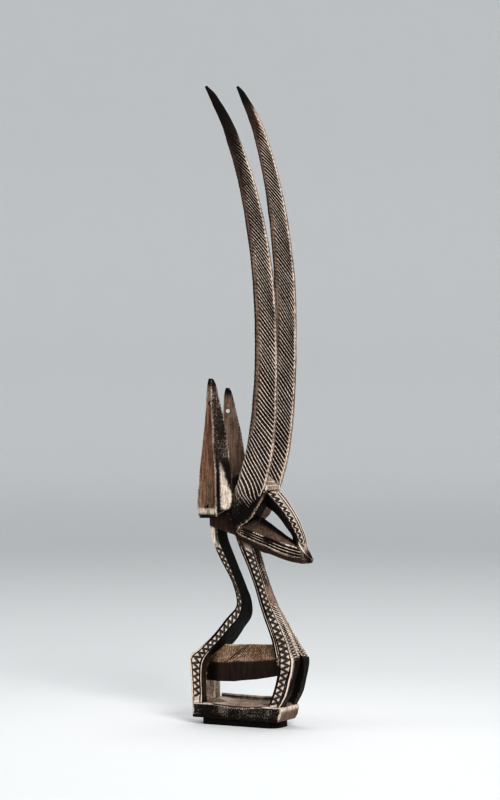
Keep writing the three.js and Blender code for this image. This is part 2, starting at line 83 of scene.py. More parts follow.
# Sizes that the solids don't have: the slant under the plinth's front, and its longer back end
PLINTH_UNDERCUT = 5.5
PLINTH_BACK_LENGTH = 3

# Levels and lengths from the frame. UNIT is a drawn unit in millimetres: the drawing starts at the
# plinth's top, and its longer horn ends at DRAWN_HEIGHT.
DRAWN_HEIGHT = 746.76
PLINTH_BOTTOM = CARVING_LOW.z
PLINTH_TOP = PLINTH_BOTTOM + PLINTH_HEIGHT
UNIT = (CARVING_HIGH.z - PLINTH_TOP) / DRAWN_HEIGHT
HALF_LENGTH = FOOT_END_INSET - SLAB_LOW.x
HALF_WIDTH = FOOT_SIDE_INSET + SLAB_HIGH.y
SLOT_HALF = HALF_WIDTH - LEG_WIDTH
BACK_FOOT = -HALF_LENGTH - BACK_LEG_OVERHANG
FRONT_FOOT = HALF_LENGTH - FRONT_LEG_SETBACK

# How far tools reach beyond the wood, how high over a face a cut starts, how far the hand wavers,
# and the longest edge of the mesh. Edges sharper than SHARP_ANGLE, in degrees, are shaded as such.
CLEAR = 60
KNIFE_LIFT = 0.6
UNEVENNESS = 0.45
UNEVENNESS_SEED = 11
LONGEST_EDGE = 3.8
SHARP_ANGLE = 32
METRES = 0.001


# Sizes and colours that a user would change


def size_setting(name, description, default, low, high):
    """A pitch, width or depth of the knife work."""
    description += ", in millimetres"
    return FloatProperty(name=name, description=description, default=default, min=low, max=high)


def colour_setting(name, description, default):
    return FloatVectorProperty(
        name=name, description=description, default=default, subtype="COLOR", min=0, max=1)


def power_setting(name, description, default):
    return FloatProperty(
        name=name, description=description, default=default, min=0, subtype="POWER", unit="POWER")


class CrestKnifeWork(bpy.types.PropertyGroup):
    ring_pitch_low: size_setting("Ring pitch, low", "Spacing of the rings at the head", 5.3, 3, 15)
    ring_pitch_high: size_setting("Ring pitch, high", "Spacing of the rings near the tips", 5.2, 2, 15)
    ring_depth: size_setting("Ring depth", "Depth of the grooves round the horns", 1.25, 0.2, 3)
    zigzag_pitch: size_setting("Zigzag pitch", "Length of one zig and zag", 7.6, 4, 20)
    zigzag_width: size_setting("Zigzag width", "Width of the zigzag cuts", 4.7, 0.5, 8)
    zigzag_depth: size_setting("Zigzag depth", "Depth of the zigzag cuts", 1.6, 0.2, 3)
    line_width: size_setting("Line width", "Width of the border lines", 2.3, 0.3, 4)
    line_depth: size_setting("Line depth", "Depth of the border lines", 1.1, 0.2, 3)
    hatch_depth: size_setting("Hatch depth", "Depth of the fine hatching", 1.0, 0.1, 2)
    horn_sides: IntProperty(
        name="Horn sides", description="Number of facets round each horn", default=30, min=12, max=64)


class CrestWoodColours(bpy.types.PropertyGroup):
    # Soot also paints shade in hollows, holes, slots and undersides. Tan and cream also paint lit faces
    # and highlights.
    groove: colour_setting("Groove", "Dark patina left in the cuts", (0.008, 0.0045, 0.0035))
    soot: colour_setting("Soot", "Blackened faces", (0.0035, 0.0026, 0.0023))
    brown: colour_setting("Brown", "The wood's plain stained faces", (0.05, 0.027, 0.019))
    tan: colour_setting("Tan", "Handled faces where the stain has thinned", (0.27, 0.175, 0.125))
    cream: colour_setting("Cream", "Rubbed edges and the crests of the knife work", (0.8, 0.67, 0.56))
    ear: colour_setting("Ear", "Red-brown wood inside the ears", (0.28, 0.145, 0.095))
    honey: colour_setting("Honey", "Golden wood low on the ears and on the body", (0.27, 0.15, 0.075))


class CrestStage(bpy.types.PropertyGroup):
    floor: colour_setting("Floor", "Colour of the floor and backdrop", (0.84, 0.84, 0.845))
    # The outer floor's grey is painted shade.
    shaded_outer_floor: colour_setting("Outer floor", "Colour away from the crest", (0.75, 0.76, 0.765))
    key_power: power_setting("Key light", "Power of the main soft light", 60)
    fill_power: power_setting("Fill light", "Power of the opposite soft light", 12)
    top_power: power_setting("Top light", "Power of the overhead soft light", 15)
    camera_distance: FloatProperty(
        name="Camera distance", description="From the camera to the crest", default=2.9,
        subtype="DISTANCE", unit="LENGTH")
    camera_azimuth: FloatProperty(
        name="Camera azimuth", description="Turn of the camera round the crest",
        default=math.radians(28.5), subtype="ANGLE", unit="ROTATION")


# Curves, rings and solids. Everything is worked out in millimetres and scaled once at the end.


def spline(rows, t):
    """Points at parameters t of a smooth curve through the rows."""
    rows = np.asarray(rows, float)
    spans = len(rows) - 1
    place = np.clip(np.asarray(t, float), 0, 1) * spans
    index = np.minimum(place.astype(int), spans - 1)
    part = (place - index)[..., None]
    padded = np.vstack([2 * rows[0] - rows[1], rows, 2 * rows[-1] - rows[-2]])
    before, start, end, after = (padded[index + step] for step in range(4))
    into, out = (end - before) / 2, (after - start) / 2
    cubic = (2 * start - 2 * end + into + out) * part**3
    return cubic + (3 * end - 3 * start - 2 * into - out) * part**2 + into * part + start


def lengths_along(points):
    steps = np.linalg.norm(np.diff(points, axis=0), axis=1)
    return np.concatenate([[0], np.cumsum(steps)])


def even_steps(rows, step, start=0.0, end=1.0):
    """Parameters from start to end at even lengths near the given step."""
    fine = np.linspace(start, end, 400)
    lengths = lengths_along(spline(rows, fine))
    count = max(2, round(lengths[-1] / step))
    return np.interp(np.linspace(0, lengths[-1], count + 1), lengths, fine)


def along_rows(rows, column, place):
    """Value of one column of straight-sided rows at a place given by their first column."""
    rows = np.asarray(rows, float)
    return np.interp(place, rows[:, 0], rows[:, column])


def rise(value, low, high):
    """0 below low and 1 above high, with a smooth change between them."""
    share = np.clip((np.asarray(value, float) - low) / (high - low), 0, 1)
    return share * share * (3 - 2 * share)


def fall(value, low, high):
    """1 below low and 0 above high."""
    return 1 - rise(value, low, high)


def between(value, low, high, soft):
    """1 between low and high, easing to 0 outside."""
    return rise(value, low - soft, low + soft) * fall(value, high - soft, high + soft)


def unit(vectors):
    """The same directions, each with a length of 1."""
    return vectors / np.linalg.norm(vectors, axis=-1, keepdims=True)


def points_at(x, y, z):
    """Points from their columns of x, y and z."""
    return np.stack(np.broadcast_arrays(x, y, z), axis=-1)


def rings_through(*corners):
    """Rings that have the same corners, each given by its columns of x, y and z."""
    return np.stack([points_at(*corner) for corner in corners], axis=1)


def figure_points(points):
    """Points of the drawing, whose heights start at the plinth's top."""
    return np.asarray(points, float) * UNIT + (0, 0, PLINTH_TOP)


def eased(corners, ease, cuts):
    """Rings whose corners are eased by a small flat, with each side cut in a number of steps."""
    ahead = np.roll(corners, -1, axis=1) - corners
    length = np.maximum(np.linalg.norm(ahead, axis=2, keepdims=True), 1e-6)
    flat = ahead / length * np.minimum(ease, length * 0.3)
    first, last = corners + flat, corners + ahead - flat
    columns = []
    for side, count in enumerate(cuts):
        for share in np.linspace(0, 1, count + 1):
            columns.append(first[:, side] * (1 - share) + last[:, side] * share)
    return np.stack(columns, axis=1)


def flipped(rings):
    """The same rings on the other side of the plane Y = 0."""
    return rings * (1, -1, 1)


def walls(count, sides):
    """Faces between each ring of points and the next."""
    ring, side = np.meshgrid(np.arange(count - 1), np.arange(sides), indexing="ij")
    a = (ring * sides + side).ravel()
    b = (ring * sides + (side + 1) % sides).ravel()
    return np.stack([a, b, b + sides, a + sides], axis=1).tolist()


def loft(name, rings):
    """Closed solid through rings that have the same number of points."""
    rings = np.asarray(rings, float)
    count, sides = rings.shape[:2]
    points = rings.reshape(-1, 3)
    faces = walls(count, sides)
    a, b, above_b, above_a = points[np.array(faces)].transpose(1, 0, 2)
    volume = np.sum(a * np.cross(b - above_a, above_b))
    faces.append(list(range(sides))[::-1])
    faces.append(list(range((count - 1) * sides, count * sides)))
    if volume < 0:
        faces = [face[::-1] for face in faces]
    return solid(name, points, faces)


def solid(name, points, faces):
    mesh = bpy.data.meshes.new(name)
    mesh.from_pydata(points.tolist(), [], faces)
    made = bpy.data.objects.new(name, mesh)
    bpy.context.scene.collection.objects.link(made)
    return made


def surface_of(made):
    """Search tree of a solid's faces."""
    mesh = made.data
    return BVHTree.FromPolygons([v.co for v in mesh.vertices], [p.vertices[:] for p in mesh.polygons])


def combine(target, tools, operation):
    """Join the tools to the target, or cut them out of it. The tools are used up."""
    shelf = bpy.data.collections.new("tools")
    bpy.context.scene.collection.children.link(shelf)
    for tool in tools:
        bpy.context.scene.collection.objects.unlink(tool)
        shelf.objects.link(tool)
    modifier = target.modifiers.new("combine", "BOOLEAN")
    modifier.operation = operation
    modifier.solver = "MANIFOLD"
    modifier.operand_type = "COLLECTION"
    modifier.collection = shelf
    whole = bpy.data.meshes.new_from_object(target.evaluated_get(bpy.context.evaluated_depsgraph_get()))
    if not whole.polygons:
        raise RuntimeError(f"nothing is left of {target.name}")
    target.modifiers.clear()
    target.data = whole
    for tool in tools:
        bpy.data.objects.remove(tool, do_unlink=True)
    bpy.data.collections.remove(shelf)
    return target


def knife_cut(points, normals, width, depth, end=0.35):
    """V-shaped cut along points on a surface. Its ends have the given share of its size."""
    points = np.asarray(points, float)
    normals = np.broadcast_to(np.asarray(normals, float), points.shape)
    into = unit(np.diff(points, axis=0, prepend=2 * points[:1] - points[1:2]))
    out = unit(np.diff(points, axis=0, append=2 * points[-1:] - points[-2:-1]))
    along = unit(into + out)
    stretch = 1 / np.maximum(np.sum(along * into, axis=1), 0.35)
    fade = np.ones(len(points))
    fade[[0, -1]] = end
    reach = (width / 2) * (fade + KNIFE_LIFT / depth) * stretch
    across = unit(np.cross(normals, along)) * reach[:, None]
    top = points + normals * KNIFE_LIFT
    bottom = points - normals * (depth * fade)[:, None]
    return loft("knife_cut", np.stack([top + across, top - across, bottom], axis=1))


# Members: upright ribbons between a back edge and a front edge. Each row holds x, half width and
# height of the back edge and the same of the front edge.


def leg_row(back_x, back_z, front_x, front_z):
    return (back_x, HALF_WIDTH, back_z, front_x, HALF_WIDTH, front_z)


BACK_MEMBER = [
    (-45, 12, 236, -32, 12, 236),
    (-44, 12, 206, -33.5, 12, 206.5),
    (-39.8, 12, 191.6, -30.3, 12, 191.8),
    (-27.4, 11.4, 167, -19, 11.4, 167.3),
    (-14, 12, 144.7, -6.2, 12, 138.5),
    (-7.8, 12.4, 126.5, 0.2, 12.8, 122),
    (-8, 14, 114.5, -1.5, 16.4, 104),
    (-19.5, 17.4, 101, -14, 20, 88),
    (-36, 21, 80.5, -27.5, 22.8, 71.5),
    (-54, 22.8, 64, -43, 23.2, 57),
    leg_row(-66, 55, -48, 48),
    leg_row(-65.4, 40, -49.6, 36),
    leg_row(BACK_FOOT / UNIT, 0, (BACK_FOOT + BACK_LEG_THICKNESS) / UNIT, 0),
]
FRONT_MEMBER = [
    (-22, 9, 224, 2, 9, 214),
    (-13, 9, 203, 10.5, 9, 193),
    (3.6, 9, 168, 18.8, 9, 167),
    (12.6, 9, 147.3, 25.5, 9, 147.7),
    (23.5, 10.8, 118, 37.6, 10.8, 118.4),
    (30.5, 13, 102.6, 46.5, 13, 103.6),
    (41, 15.5, 80, 59, 15.5, 81),
    (46, 19, 67, 65.6, 19, 67.8),
    leg_row(51, 54, 72.2, 56.5),
    leg_row(53.5, 41, 71.3, 42),
    leg_row(51.5, 30, 68.8, 30.5),
    leg_row(47, 14.5, 64.5, 15),
    leg_row((FRONT_FOOT - FRONT_LEG_THICKNESS) / UNIT, 0, FRONT_FOOT / UNIT, 0),
]


def on_face(rows, t, share, side):
    """Points across a member's side face, from its back edge at 0 to its front edge at 1."""
    both = spline(rows, t)
    share = np.broadcast_to(share, np.shape(t))[..., None]
    return figure_points((both[..., :3] * (1 - share) + both[..., 3:] * share) * (1, side, 1))


def on_front(rows, t, share, ridge):
    """Points across a member's front, from its edge at Y < 0 through the ridge to the other edge."""
    both = spline(rows, t)
    edge = both[..., 3:]
    forward = unit((edge - both[..., :3]) * (1, 0, 1))
    out = 1 - np.abs(np.asarray(share, float))[..., None]
    points = edge * (1, 0, 1) + forward * ridge / UNIT * out
    points[..., 1] += np.asarray(share) * edge[..., 1]
    return figure_points(points), forward


def member(name, rows, ridge, step):
    t = even_steps(np.asarray(rows)[:, :3], step)
    back, front = on_face(rows, t, 0, 1), on_face(rows, t, 1, 1)
    spine, _ = on_front(rows, t, np.zeros(len(t)), ridge)
    corners = np.stack([flipped(back), flipped(front), spine, front, back], axis=1)
    return loft(name, eased(corners, 0.7, (6, 4, 4, 6, 6)))


# Where the zigzags run: parameter along the member, and the shares across its side face
BACK_BAND = [(0.19, 0.26, 0.86), (0.55, 0.24, 0.8), (0.7, 0.3, 0.76), (0.985, 0.3, 0.74)]
NECK_BAND = [
    (0.125, 0.45, 0.86), (0.6, 0.48, 0.9), (0.71, 0.34, 0.84), (0.82, 0.24, 0.66), (0.985, 0.22, 0.64),
]
# How far each stroke runs past its corners, its size there, and how far beside it its lines run
ZIGZAG_OVERRUN = 0.1
ZIGZAG_END = 0.7
LINE_OFFSET = 0.09
# Lines without a zigzag on the neck's sides: parameters from and to, points, and share across
NECK_LINES = ((0.12, 0.64, 40, 0.1), (0.12, 0.64, 40, 0.24), (0.76, 0.985, 20, 0.86))
# Hatching down the neck's front: parameters from and to, pitch, and the slants of its strokes,
# which change from one facet to the other
HATCH_BANDS = (
    (0.1, 0.27, 3.6, (1, 1)), (0.34, 0.46, 3.6, (-1, 1)), (0.45, 0.68, 3.8, (1, 1, -1, -1)),
)
HATCH_WIDTH = 2.1
HATCH_SLANT = 0.013


def zigzag_strokes(corners, normals, knife):
    """One stroke of the knife from each corner of a zigzag to the next, and a little past both."""
    cuts = []
    for a, b, normal in zip(corners[:-1], corners[1:], normals):
        past = (b - a) * ZIGZAG_OVERRUN
        points = [a - past, a * 0.7 + b * 0.3, a * 0.3 + b * 0.7, b + past]
        cuts.append(knife_cut(points, normal, knife.zigzag_width, knife.zigzag_depth, ZIGZAG_END))
    return cuts


def zigzag(rows, band, side, knife):
    """Zigzag up a member's side face, one stroke of the knife at a time, between two lines."""
    rows = np.asarray(rows)
    start, end = band[0][0], band[-1][0]
    t = even_steps((rows[:, :3] + rows[:, 3:]) / 2, knife.zigzag_pitch / 2, start, end)
    low, high = along_rows(band, 1, t), along_rows(band, 2, t)
    corners = on_face(rows, t, np.where(np.arange(len(t)) % 2, high, low), side)
    cuts = zigzag_strokes(corners, np.tile((0, side, 0), (len(t), 1)), knife)
    for share in (low - LINE_OFFSET, high + LINE_OFFSET):
        cuts.append(border_line(rows, t, share, side, knife))
    return cuts


def border_line(rows, t, share, side, knife):
    points = on_face(rows, t, share, side)
    return knife_cut(points, (0, side, 0), knife.line_width, knife.line_depth)


def neck_hatching(knife):
    """Chevrons, slanting cuts and a lattice down the two facets of the neck's front."""
    cuts = []
    for start, end, pitch, slants in HATCH_BANDS:
        for t in even_steps(np.asarray(FRONT_MEMBER)[:, 3:], pitch, start, end)[:-1]:
            for number, slant in enumerate(slants):
                side = 1 if number % 2 else -1
                share = np.linspace(0.08, 0.9, 4) * side
                slope = HATCH_SLANT * slant * np.linspace(-1, 1, 4)
                points, forward = on_front(FRONT_MEMBER, t + slope, share, NECK_RIDGE)
                normals = unit(forward + (0, 0.22 * side, 0))
                cuts.append(knife_cut(points, normals, HATCH_WIDTH, knife.hatch_depth))
    return cuts


def member_cuts(knife):
    cuts = neck_hatching(knife)
    for side in (-1, 1):
        cuts += zigzag(BACK_MEMBER, BACK_BAND, side, knife)
        cuts += zigzag(FRONT_MEMBER, NECK_BAND, side, knife)
        for start, end, count, share in NECK_LINES:
            t = np.linspace(start, end, count)
            cuts.append(border_line(FRONT_MEMBER, t, share, side, knife))
    return cuts


# Slots between the legs of each pair, open to the ends and pointed at the top: x in millimetres,
# and the drawn heights of shoulder and tip
FRONT_SLOT = (FRONT_FOOT, 34, 66)
BACK_SLOT = (BACK_FOOT, 30, 60)


def leg_slot(foot, shoulder, apex):
    floor = PLINTH_TOP - DISH_DEPTH
    shoulder, apex = (PLINTH_TOP + z * UNIT for z in (shoulder, apex))
    outline = [
        (-SLOT_HALF, floor), (SLOT_HALF, floor), (SLOT_HALF, shoulder),
        (0.5, apex), (-0.5, apex), (-SLOT_HALF, shoulder),
    ]
    places = np.linspace(foot - CLEAR / 2, foot + CLEAR / 2, 16)
    rings = np.array([[(x, y, z) for y, z in outline] for x in places])
    return loft("leg_slot", eased(rings, 0.4, (4, 6, 8, 1, 8, 6)))


# Body: x, half width, and heights of the underside, the shoulder and the ridge
BODY = [
    (-56, 8.5, 25.5, 46.5, 60),
    (-46, 9, 25.5, 46.8, 66),
    (-34, 13, 25.5, 47.6, 70),
    (-10, 14, 26.5, 50, 71),
    (20, 14.5, 30.5, 53, 72),
    (50, 15, 36.5, 56.5, 73),
    (58, 15, 37, 57, 70),
]
ROOF_CUT_WIDTH = 1.4
ROOF_HATCH_WIDTH = 1.1


def body_gable(x, share, side):
    """Points up the body's gable, from its shoulder at 0 to its ridge at 1."""
    half, shoulder, ridge = (along_rows(BODY, column, x) for column in (1, 3, 4))
    height = shoulder + (ridge - shoulder) * share
    return figure_points(points_at(x, side * half * (1 - share), height))


def body():
    x = np.linspace(BODY[0][0], BODY[-1][0], 34)
    half, low, shoulder, ridge = (along_rows(BODY, column, x) for column in range(1, 5))
    rings = figure_points(rings_through(
        (x, -half, low), (x, -half, shoulder), (x, 0, ridge), (x, half, shoulder), (x, half, low)))
    return loft("body", eased(rings, 1.4, (5, 6, 6, 5, 6)))


def body_cuts(knife):
    """Two long slanting cuts on each side of the body's roof, with fine hatching in front."""
    cuts = []
    for side in (-1, 1):
        normal = (0, side * 0.8, 0.6)
        for place in (-19, -15.5):
            share = np.linspace(0.03, 0.95, 6)
            points = body_gable(place + 22 * share, share, side)
            cuts.append(knife_cut(points, normal, ROOF_CUT_WIDTH, knife.line_depth))
        for place in np.arange(-6, 44, 2.7):
            share = np.linspace(0.06, 0.62 + 0.2 * math.sin(place), 4)
            points = body_gable(place + 9 * share, share, side)
            cuts.append(knife_cut(points, normal, ROOF_HATCH_WIDTH, knife.hatch_depth))
    return cuts


# Plinth


def prism_across(name, outline, half_width, ease, stations, cuts):
    """Solid across Y of an outline drawn in X and Z, with its end edges eased."""
    outline = np.asarray(outline, float)
    middle = outline.mean(axis=0)
    shrunk = outline - (outline - middle) / np.abs(outline - middle).max(axis=0) * ease
    places = np.linspace(-half_width + ease, half_width - ease, stations)
    rings = [(-half_width, shrunk)] + [(y, outline) for y in places] + [(half_width, shrunk)]
    corners = np.array([[(x, y, z) for x, z in ring] for y, ring in rings])
    return loft(name, eased(corners, ease, cuts))


def plinth_block():
    end, low, high = HALF_LENGTH, PLINTH_BOTTOM, PLINTH_TOP
    back = -end - PLINTH_BACK_LENGTH
    outline = [
        (back, low), (end - PLINTH_UNDERCUT, low),
        (end - PLINTH_UNDERCUT / 3, low + PLINTH_HEIGHT / 3), (end, high - PLINTH_HEIGHT / 6),
        (end - 1, high), (back, high),
    ]
    return prism_across("plinth", outline, HALF_WIDTH, 0.8, 12, (24, 2, 4, 2, 24, 5))


def plinth_rim():
    """The higher far rim, and the bank that leads up to it."""
    end = HALF_LENGTH - BACK_LEG_THICKNESS
    x = np.linspace(-end, end, 30)
    low, high = PLINTH_TOP - 1, PLINTH_TOP + RIM_HEIGHT - 0.6 * (1 - np.abs(x) / end)
    inner, outer = HALF_WIDTH - RIM_WIDTH, HALF_WIDTH
    rings = rings_through(
        (x, -SLOT_HALF, low), (x, inner, high - 2.6), (x, inner, high),
        (x, outer, high), (x, outer, low))
    return loft("rim", eased(rings, 0.5, (6, 1, 2, 2, 6)))


def plinth_scoop():
    end = HALF_LENGTH - BACK_LEG_THICKNESS + 1
    x = np.linspace(-end, end, 34)
    sag = DISH_DEPTH * np.sin(np.pi * (x + end) / (2 * end))
    near, far = -HALF_WIDTH - 5, HALF_WIDTH - RIM_WIDTH
    rings = rings_through(
        (x, near, PLINTH_TOP + 0.4 - sag), (x, far, PLINTH_TOP + 3.2 - 0.5 * sag),
        (x, far, PLINTH_TOP + CLEAR), (x, near, PLINTH_TOP + CLEAR))
    return loft("dish", eased(rings, 0.4, (10, 1, 1, 1)))


# Head


def throat():
    outline = np.array([
        (-45, 228), (-44, 212), (-33.8, 208.5), (-13, 202.5), (6, 196), (20, 214),
        (18, 250), (-12, 262), (-34, 250),
    ]) * UNIT + (0, PLINTH_TOP)
    return prism_across("throat", outline, 13 * UNIT, 0.8, 6, (4, 3, 5, 4, 5, 8, 6, 5, 5))


def skull():
    outline = np.array([
        (-9, 206), (1, 211.5), (36, 254), (35.5, 264), (24, 276), (2, 279), (-16, 266), (-20, 232),
    ]) * UNIT + (0, PLINTH_TOP)
    return prism_across("skull", outline, 20.5 * UNIT, 3, 9, (3, 10, 3, 4, 6, 5, 8, 6))


# Muzzle: x, heights of top, knuckle and bottom, and half widths above and below the knuckle
MUZZLE = [
    (-10, 236, 211, 202, 13, 9),
    (0, 254, 203, 195.5, 20, 9),
    (24, 260.5, 194, 182.6, 20.5, 9),
    (35, 254, 190, 180, 20, 9),
    (51, 237.5, 183, 175, 17.5, 8.5),
    (61.5, 224, 179.5, 172, 15.5, 8),
    (68.4, 212, 177.5, 170.8, 14, 7.5),
    (74.2, 200, 176.5, 170, 12, 6.5),
    (77.4, 190, 176, 169.6, 10, 5.5),
    (85.5, 178, 174.5, 170, 4.6, 2.8),
    (88.4, 175.5, 174, 172, 2.6, 1.6),
]


def muzzle():
    rows = spline(MUZZLE, np.linspace(0, 1, 91))
    rows[:, 0] = np.minimum(rows[:, 0], MUZZLE[-1][0])
    x, top, knuckle, bottom, half, below = rows.T
    rings = figure_points(rings_through(
        (x, -below, bottom), (x, -half, knuckle), (x, -half, top),
        (x, half, top), (x, half, knuckle), (x, below, bottom)))
    return loft("muzzle", eased(rings, 0.8, (4, 12, 8, 12, 4, 5)))


# Window through the muzzle: points of its outline on the faces, and of its waist at Y = 0.
# The first six pairs follow the arch.
WINDOW = [
    (37, 252.5, 26.4, 236),
    (45.5, 243.5, 36, 230.4),
    (55, 231.4, 43.9, 223.2),
    (64.4, 215.6, 52.8, 212.4),
    (72.8, 198.6, 60.4, 202.8),
    (74.4, 188.5, 62.3, 196.5),
    (56.2, 194.3, 52.5, 203),
    (37.6, 200.2, 42.5, 209.6),
    (19, 206.1, 32.4, 216.2),
    (0.5, 212, 19.4, 223.8),
    (10, 216.6, 20.2, 226),
    (19.5, 225, 21.6, 229),
    (27.6, 237.5, 23.6, 232.4),
    (37, 252.5, 26.4, 236),
]
ARCH_PAIRS = 6
JAW_CUT_WIDTH = 2.8
JAW_CUT_DEPTH = 1.5


def muzzle_window():
    arch = spline(WINDOW[:ARCH_PAIRS], np.linspace(0, 1, 26))
    rest = np.asarray(WINDOW[ARCH_PAIRS - 1:], float)
    share = np.linspace(0, len(rest) - 1, 6 * (len(rest) - 1) + 1)
    straight = np.stack([np.interp(share, np.arange(len(rest)), column) for column in rest.T], axis=1)
    pairs = np.vstack([arch[:-1], straight[:-1]])
    face, middle = pairs[:, :2], pairs[:, 2:]
    half = along_rows(MUZZLE, 4, face[:, 0])
    rings = []
    for reach in (-1.15, -0.8, -0.45, 0, 0.45, 0.8, 1.15):
        drawn = middle + (face - middle) * abs(reach)
        rings.append(points_at(drawn[:, 0], reach * half, drawn[:, 1]))
    return loft("window", figure_points(rings))


def muzzle_cuts(knife):
    """Long cuts on both faces of the jaw, and the bordered zigzag up the forehead."""
    cuts = []
    x = np.linspace(3, 80, 16)
    half, knuckle = along_rows(MUZZLE, 4, x), along_rows(MUZZLE, 2, x)
    window_edge = 212 - (x - 0.5) * 24.5 / 74.3
    for side in (-1, 1):
        for share in (0.16, 0.45, 0.74):
            z = window_edge + (knuckle - window_edge) * share
            points = figure_points(points_at(x, side * half, z))
            cuts.append(knife_cut(points, (0, side, 0), JAW_CUT_WIDTH, JAW_CUT_DEPTH))
    crest = np.array([(row[0], row[4], row[1]) for row in MUZZLE[3:9]])
    t = even_steps(crest, knife.zigzag_pitch / 2 / UNIT)
    middle = spline(crest, t)
    tangent = np.gradient(middle, axis=0)
    outward = unit(points_at(-tangent[:, 2], 0, tangent[:, 0]))
    outward *= np.sign(outward[:, :1])

    def across(share):
        return figure_points(points_at(middle[:, 0], share * middle[:, 1], middle[:, 2]))

    corners = across(np.where(np.arange(len(t)) % 2, 0.12, -0.62))
    cuts += zigzag_strokes(corners, (outward[:-1] + outward[1:]) / 2, knife)
    for share in (0.46, 0.82):
        cuts.append(knife_cut(across(share), outward, 2 * knife.line_width, 1.5 * knife.line_depth))
    return cuts


# Ears: three-edged blades, hollow on the outer face. Rows hold the drawn height and x and y of
# the back edge, the front edge and the inner edge.
EAR = [
    (224, -52.5, -23, -24, -32.5, -15.5, -20),
    (234, -56.2, -22, -22.5, -34, -9.8, -20),
    (275, -53.6, -22, -24.2, -33, -10.4, -20),
    (316, -48.4, -22, -28.9, -31, -15.2, -19.3),
    (354, -45.2, -21, -33, -27.4, -23.4, -19.2),
    (374, -43.8, -21, -34.2, -25.6, -28.4, -19.4),
    (384, -42.6, -21.2, -36, -24.4, -31.6, -19.8),
    (389, -41, -21.8, -38, -23.2, -34.8, -20.8),
]
EAR_FOOT = EAR[0][0]
# How much higher the foot is at the back, front and inner edges and between, and how far up
EAR_SLANT = (-2.5, -1.5, 7, 4)
EAR_SLANT_HEIGHT = 16
# Depth of the hollow across its width, from the back rim to the front rim
EAR_HOLLOW_PROFILE = ((0, 0.12, 0.3, 0.5, 0.72, 0.9, 1), (0, 0.26, 0.62, 0.88, 1, 0.86, 0.2))


def ear_points(plan, height, share):
    """Points from their x and y and their height, with the ear's length scaled by a share."""
    height = np.broadcast_to(EAR_FOOT + (height - EAR_FOOT) * share, plan.shape[:-1])
    return figure_points(np.concatenate([plan, height[..., None]], axis=-1))


def on_ear_face(rows, along, deep):
    """Plan points on the hollow face: along from back to front, deep inwards."""
    back, front = rows[..., 1:3], rows[..., 3:5]
    across = front - back
    inward = unit(np.stack([-across[..., 1], across[..., 0]], axis=-1))
    return back + across * np.asarray(along)[..., None] + inward * np.asarray(deep)[..., None]


def ear_blade(name, share):
    t = np.concatenate([[0, 0.03, 0.08], np.linspace(0.14, 1, 52)])
    rows = spline(EAR, t)
    back, front, inner = rows[:, 1:3], rows[:, 3:5], rows[:, 5:7]
    outermost = np.maximum(back[:, 1], inner[:, 1]) + 1.5
    bulge = np.stack([(back[:, 0] + inner[:, 0]) / 2, outermost], axis=1)
    corners = np.stack([back, front, inner, bulge], axis=1)
    slant = np.array(EAR_SLANT) * fall(rows[:, :1], EAR_FOOT, EAR_FOOT + EAR_SLANT_HEIGHT)
    rings = ear_points(corners, rows[:, :1] + slant, share)
    return loft(name, eased(rings, 0.8, (8, 6, 4, 6)))


def ear_scoop(share):
    t = np.concatenate([[0, 0.006, 0.016, 0.03, 0.05], np.linspace(0.075, 1, 42)])
    rows = spline(EAR[1:6], t)
    width = np.linalg.norm(rows[:, 3:5] - rows[:, 1:3], axis=1)
    foot = np.maximum(0, 1 - (rows[:, 0] - rows[0, 0]) / 5)
    corner = 5 * (1 - np.sqrt(1 - foot**2))
    rim = np.minimum((EAR_RIM / UNIT + corner) / width, 0.32)
    deep = np.minimum(EAR_HOLLOW / UNIT, width * 0.22) * (1 - 0.5 * foot**2)
    columns = [(rim, -4)]
    for step in np.linspace(0, 1, 14):
        columns.append((rim + (1 - 1.9 * rim) * step, deep * np.interp(step, *EAR_HOLLOW_PROFILE)))
    columns.append((1 - 0.8 * rim, -4))
    plan = np.stack([on_ear_face(rows, along, inwards) for along, inwards in columns], axis=1)
    return loft("scoop", ear_points(plan, rows[:, :1], share))


def ear_hole(level, along, diameter, deep, share):
    """Round hole square to the hollow face, at a level of the ear's rows."""
    low = int(level)
    rows = np.asarray(EAR[low]) * (1 - level + low) + np.asarray(EAR[low + 1]) * (level - low)
    mouth, end = (ear_points(on_ear_face(rows, along, d), rows[0], share) for d in (-6, deep))
    aside, upward = np.cross(unit(end - mouth), (0, 0, 1)), np.array((0, 0, 1))
    angles = np.linspace(0, 2 * math.pi, 20, endpoint=False)[:, None]
    circle = (aside * np.cos(angles) + upward * np.sin(angles)) * diameter / 2
    return loft("hole", np.stack([mouth + circle, end + circle]))


def ear_tools(share):
    return [
        ear_scoop(share),
        ear_hole(4.25, 0.5, EAR_HOLE_DIAMETER, 20, share),
        ear_hole(1.03, 0.43, EAR_PIN_HOLE_DIAMETER, 11, share),
    ]


# Horns: x, y, height and half depth of the centre line, from the head to the tip
HORN = [
    (-7.2, 12, 217.4, 8.6),
    (-1.9, 13, 232.4, 13.6),
    (8.5, 16, 250, 16.4),
    (19, 19.2, 268, 17.8),
    (30.4, 20.8, 311, 17.2),
    (37.2, 22.6, 368, 15.4),
    (39.4, 24.4, 424, 14.2),
    (37.7, 26.6, 492, 13.6),
    (29.8, 29.2, 559, 12.2),
    (15.4, 32.4, 627, 10),
    (-4.4, 35.8, 685, 7.4),
    (-23.6, 38, 722, 4.6),
    (-34.4, 39, 737.4, 1.6),
]
# Width against depth, where the rings end, and the height above which the horns differ in length
HORN_LATERAL_SHARE = 0.77
HORN_SMOOTH_FROM = 0.92
HORN_ROOT = HORN[3][2]
# How far through a groove each ring lies, and how deep it is there
GROOVE_PROFILE = [(0, 0), (0.16, 0.4), (0.36, 1), (0.66, 1), (0.9, 0.3)]


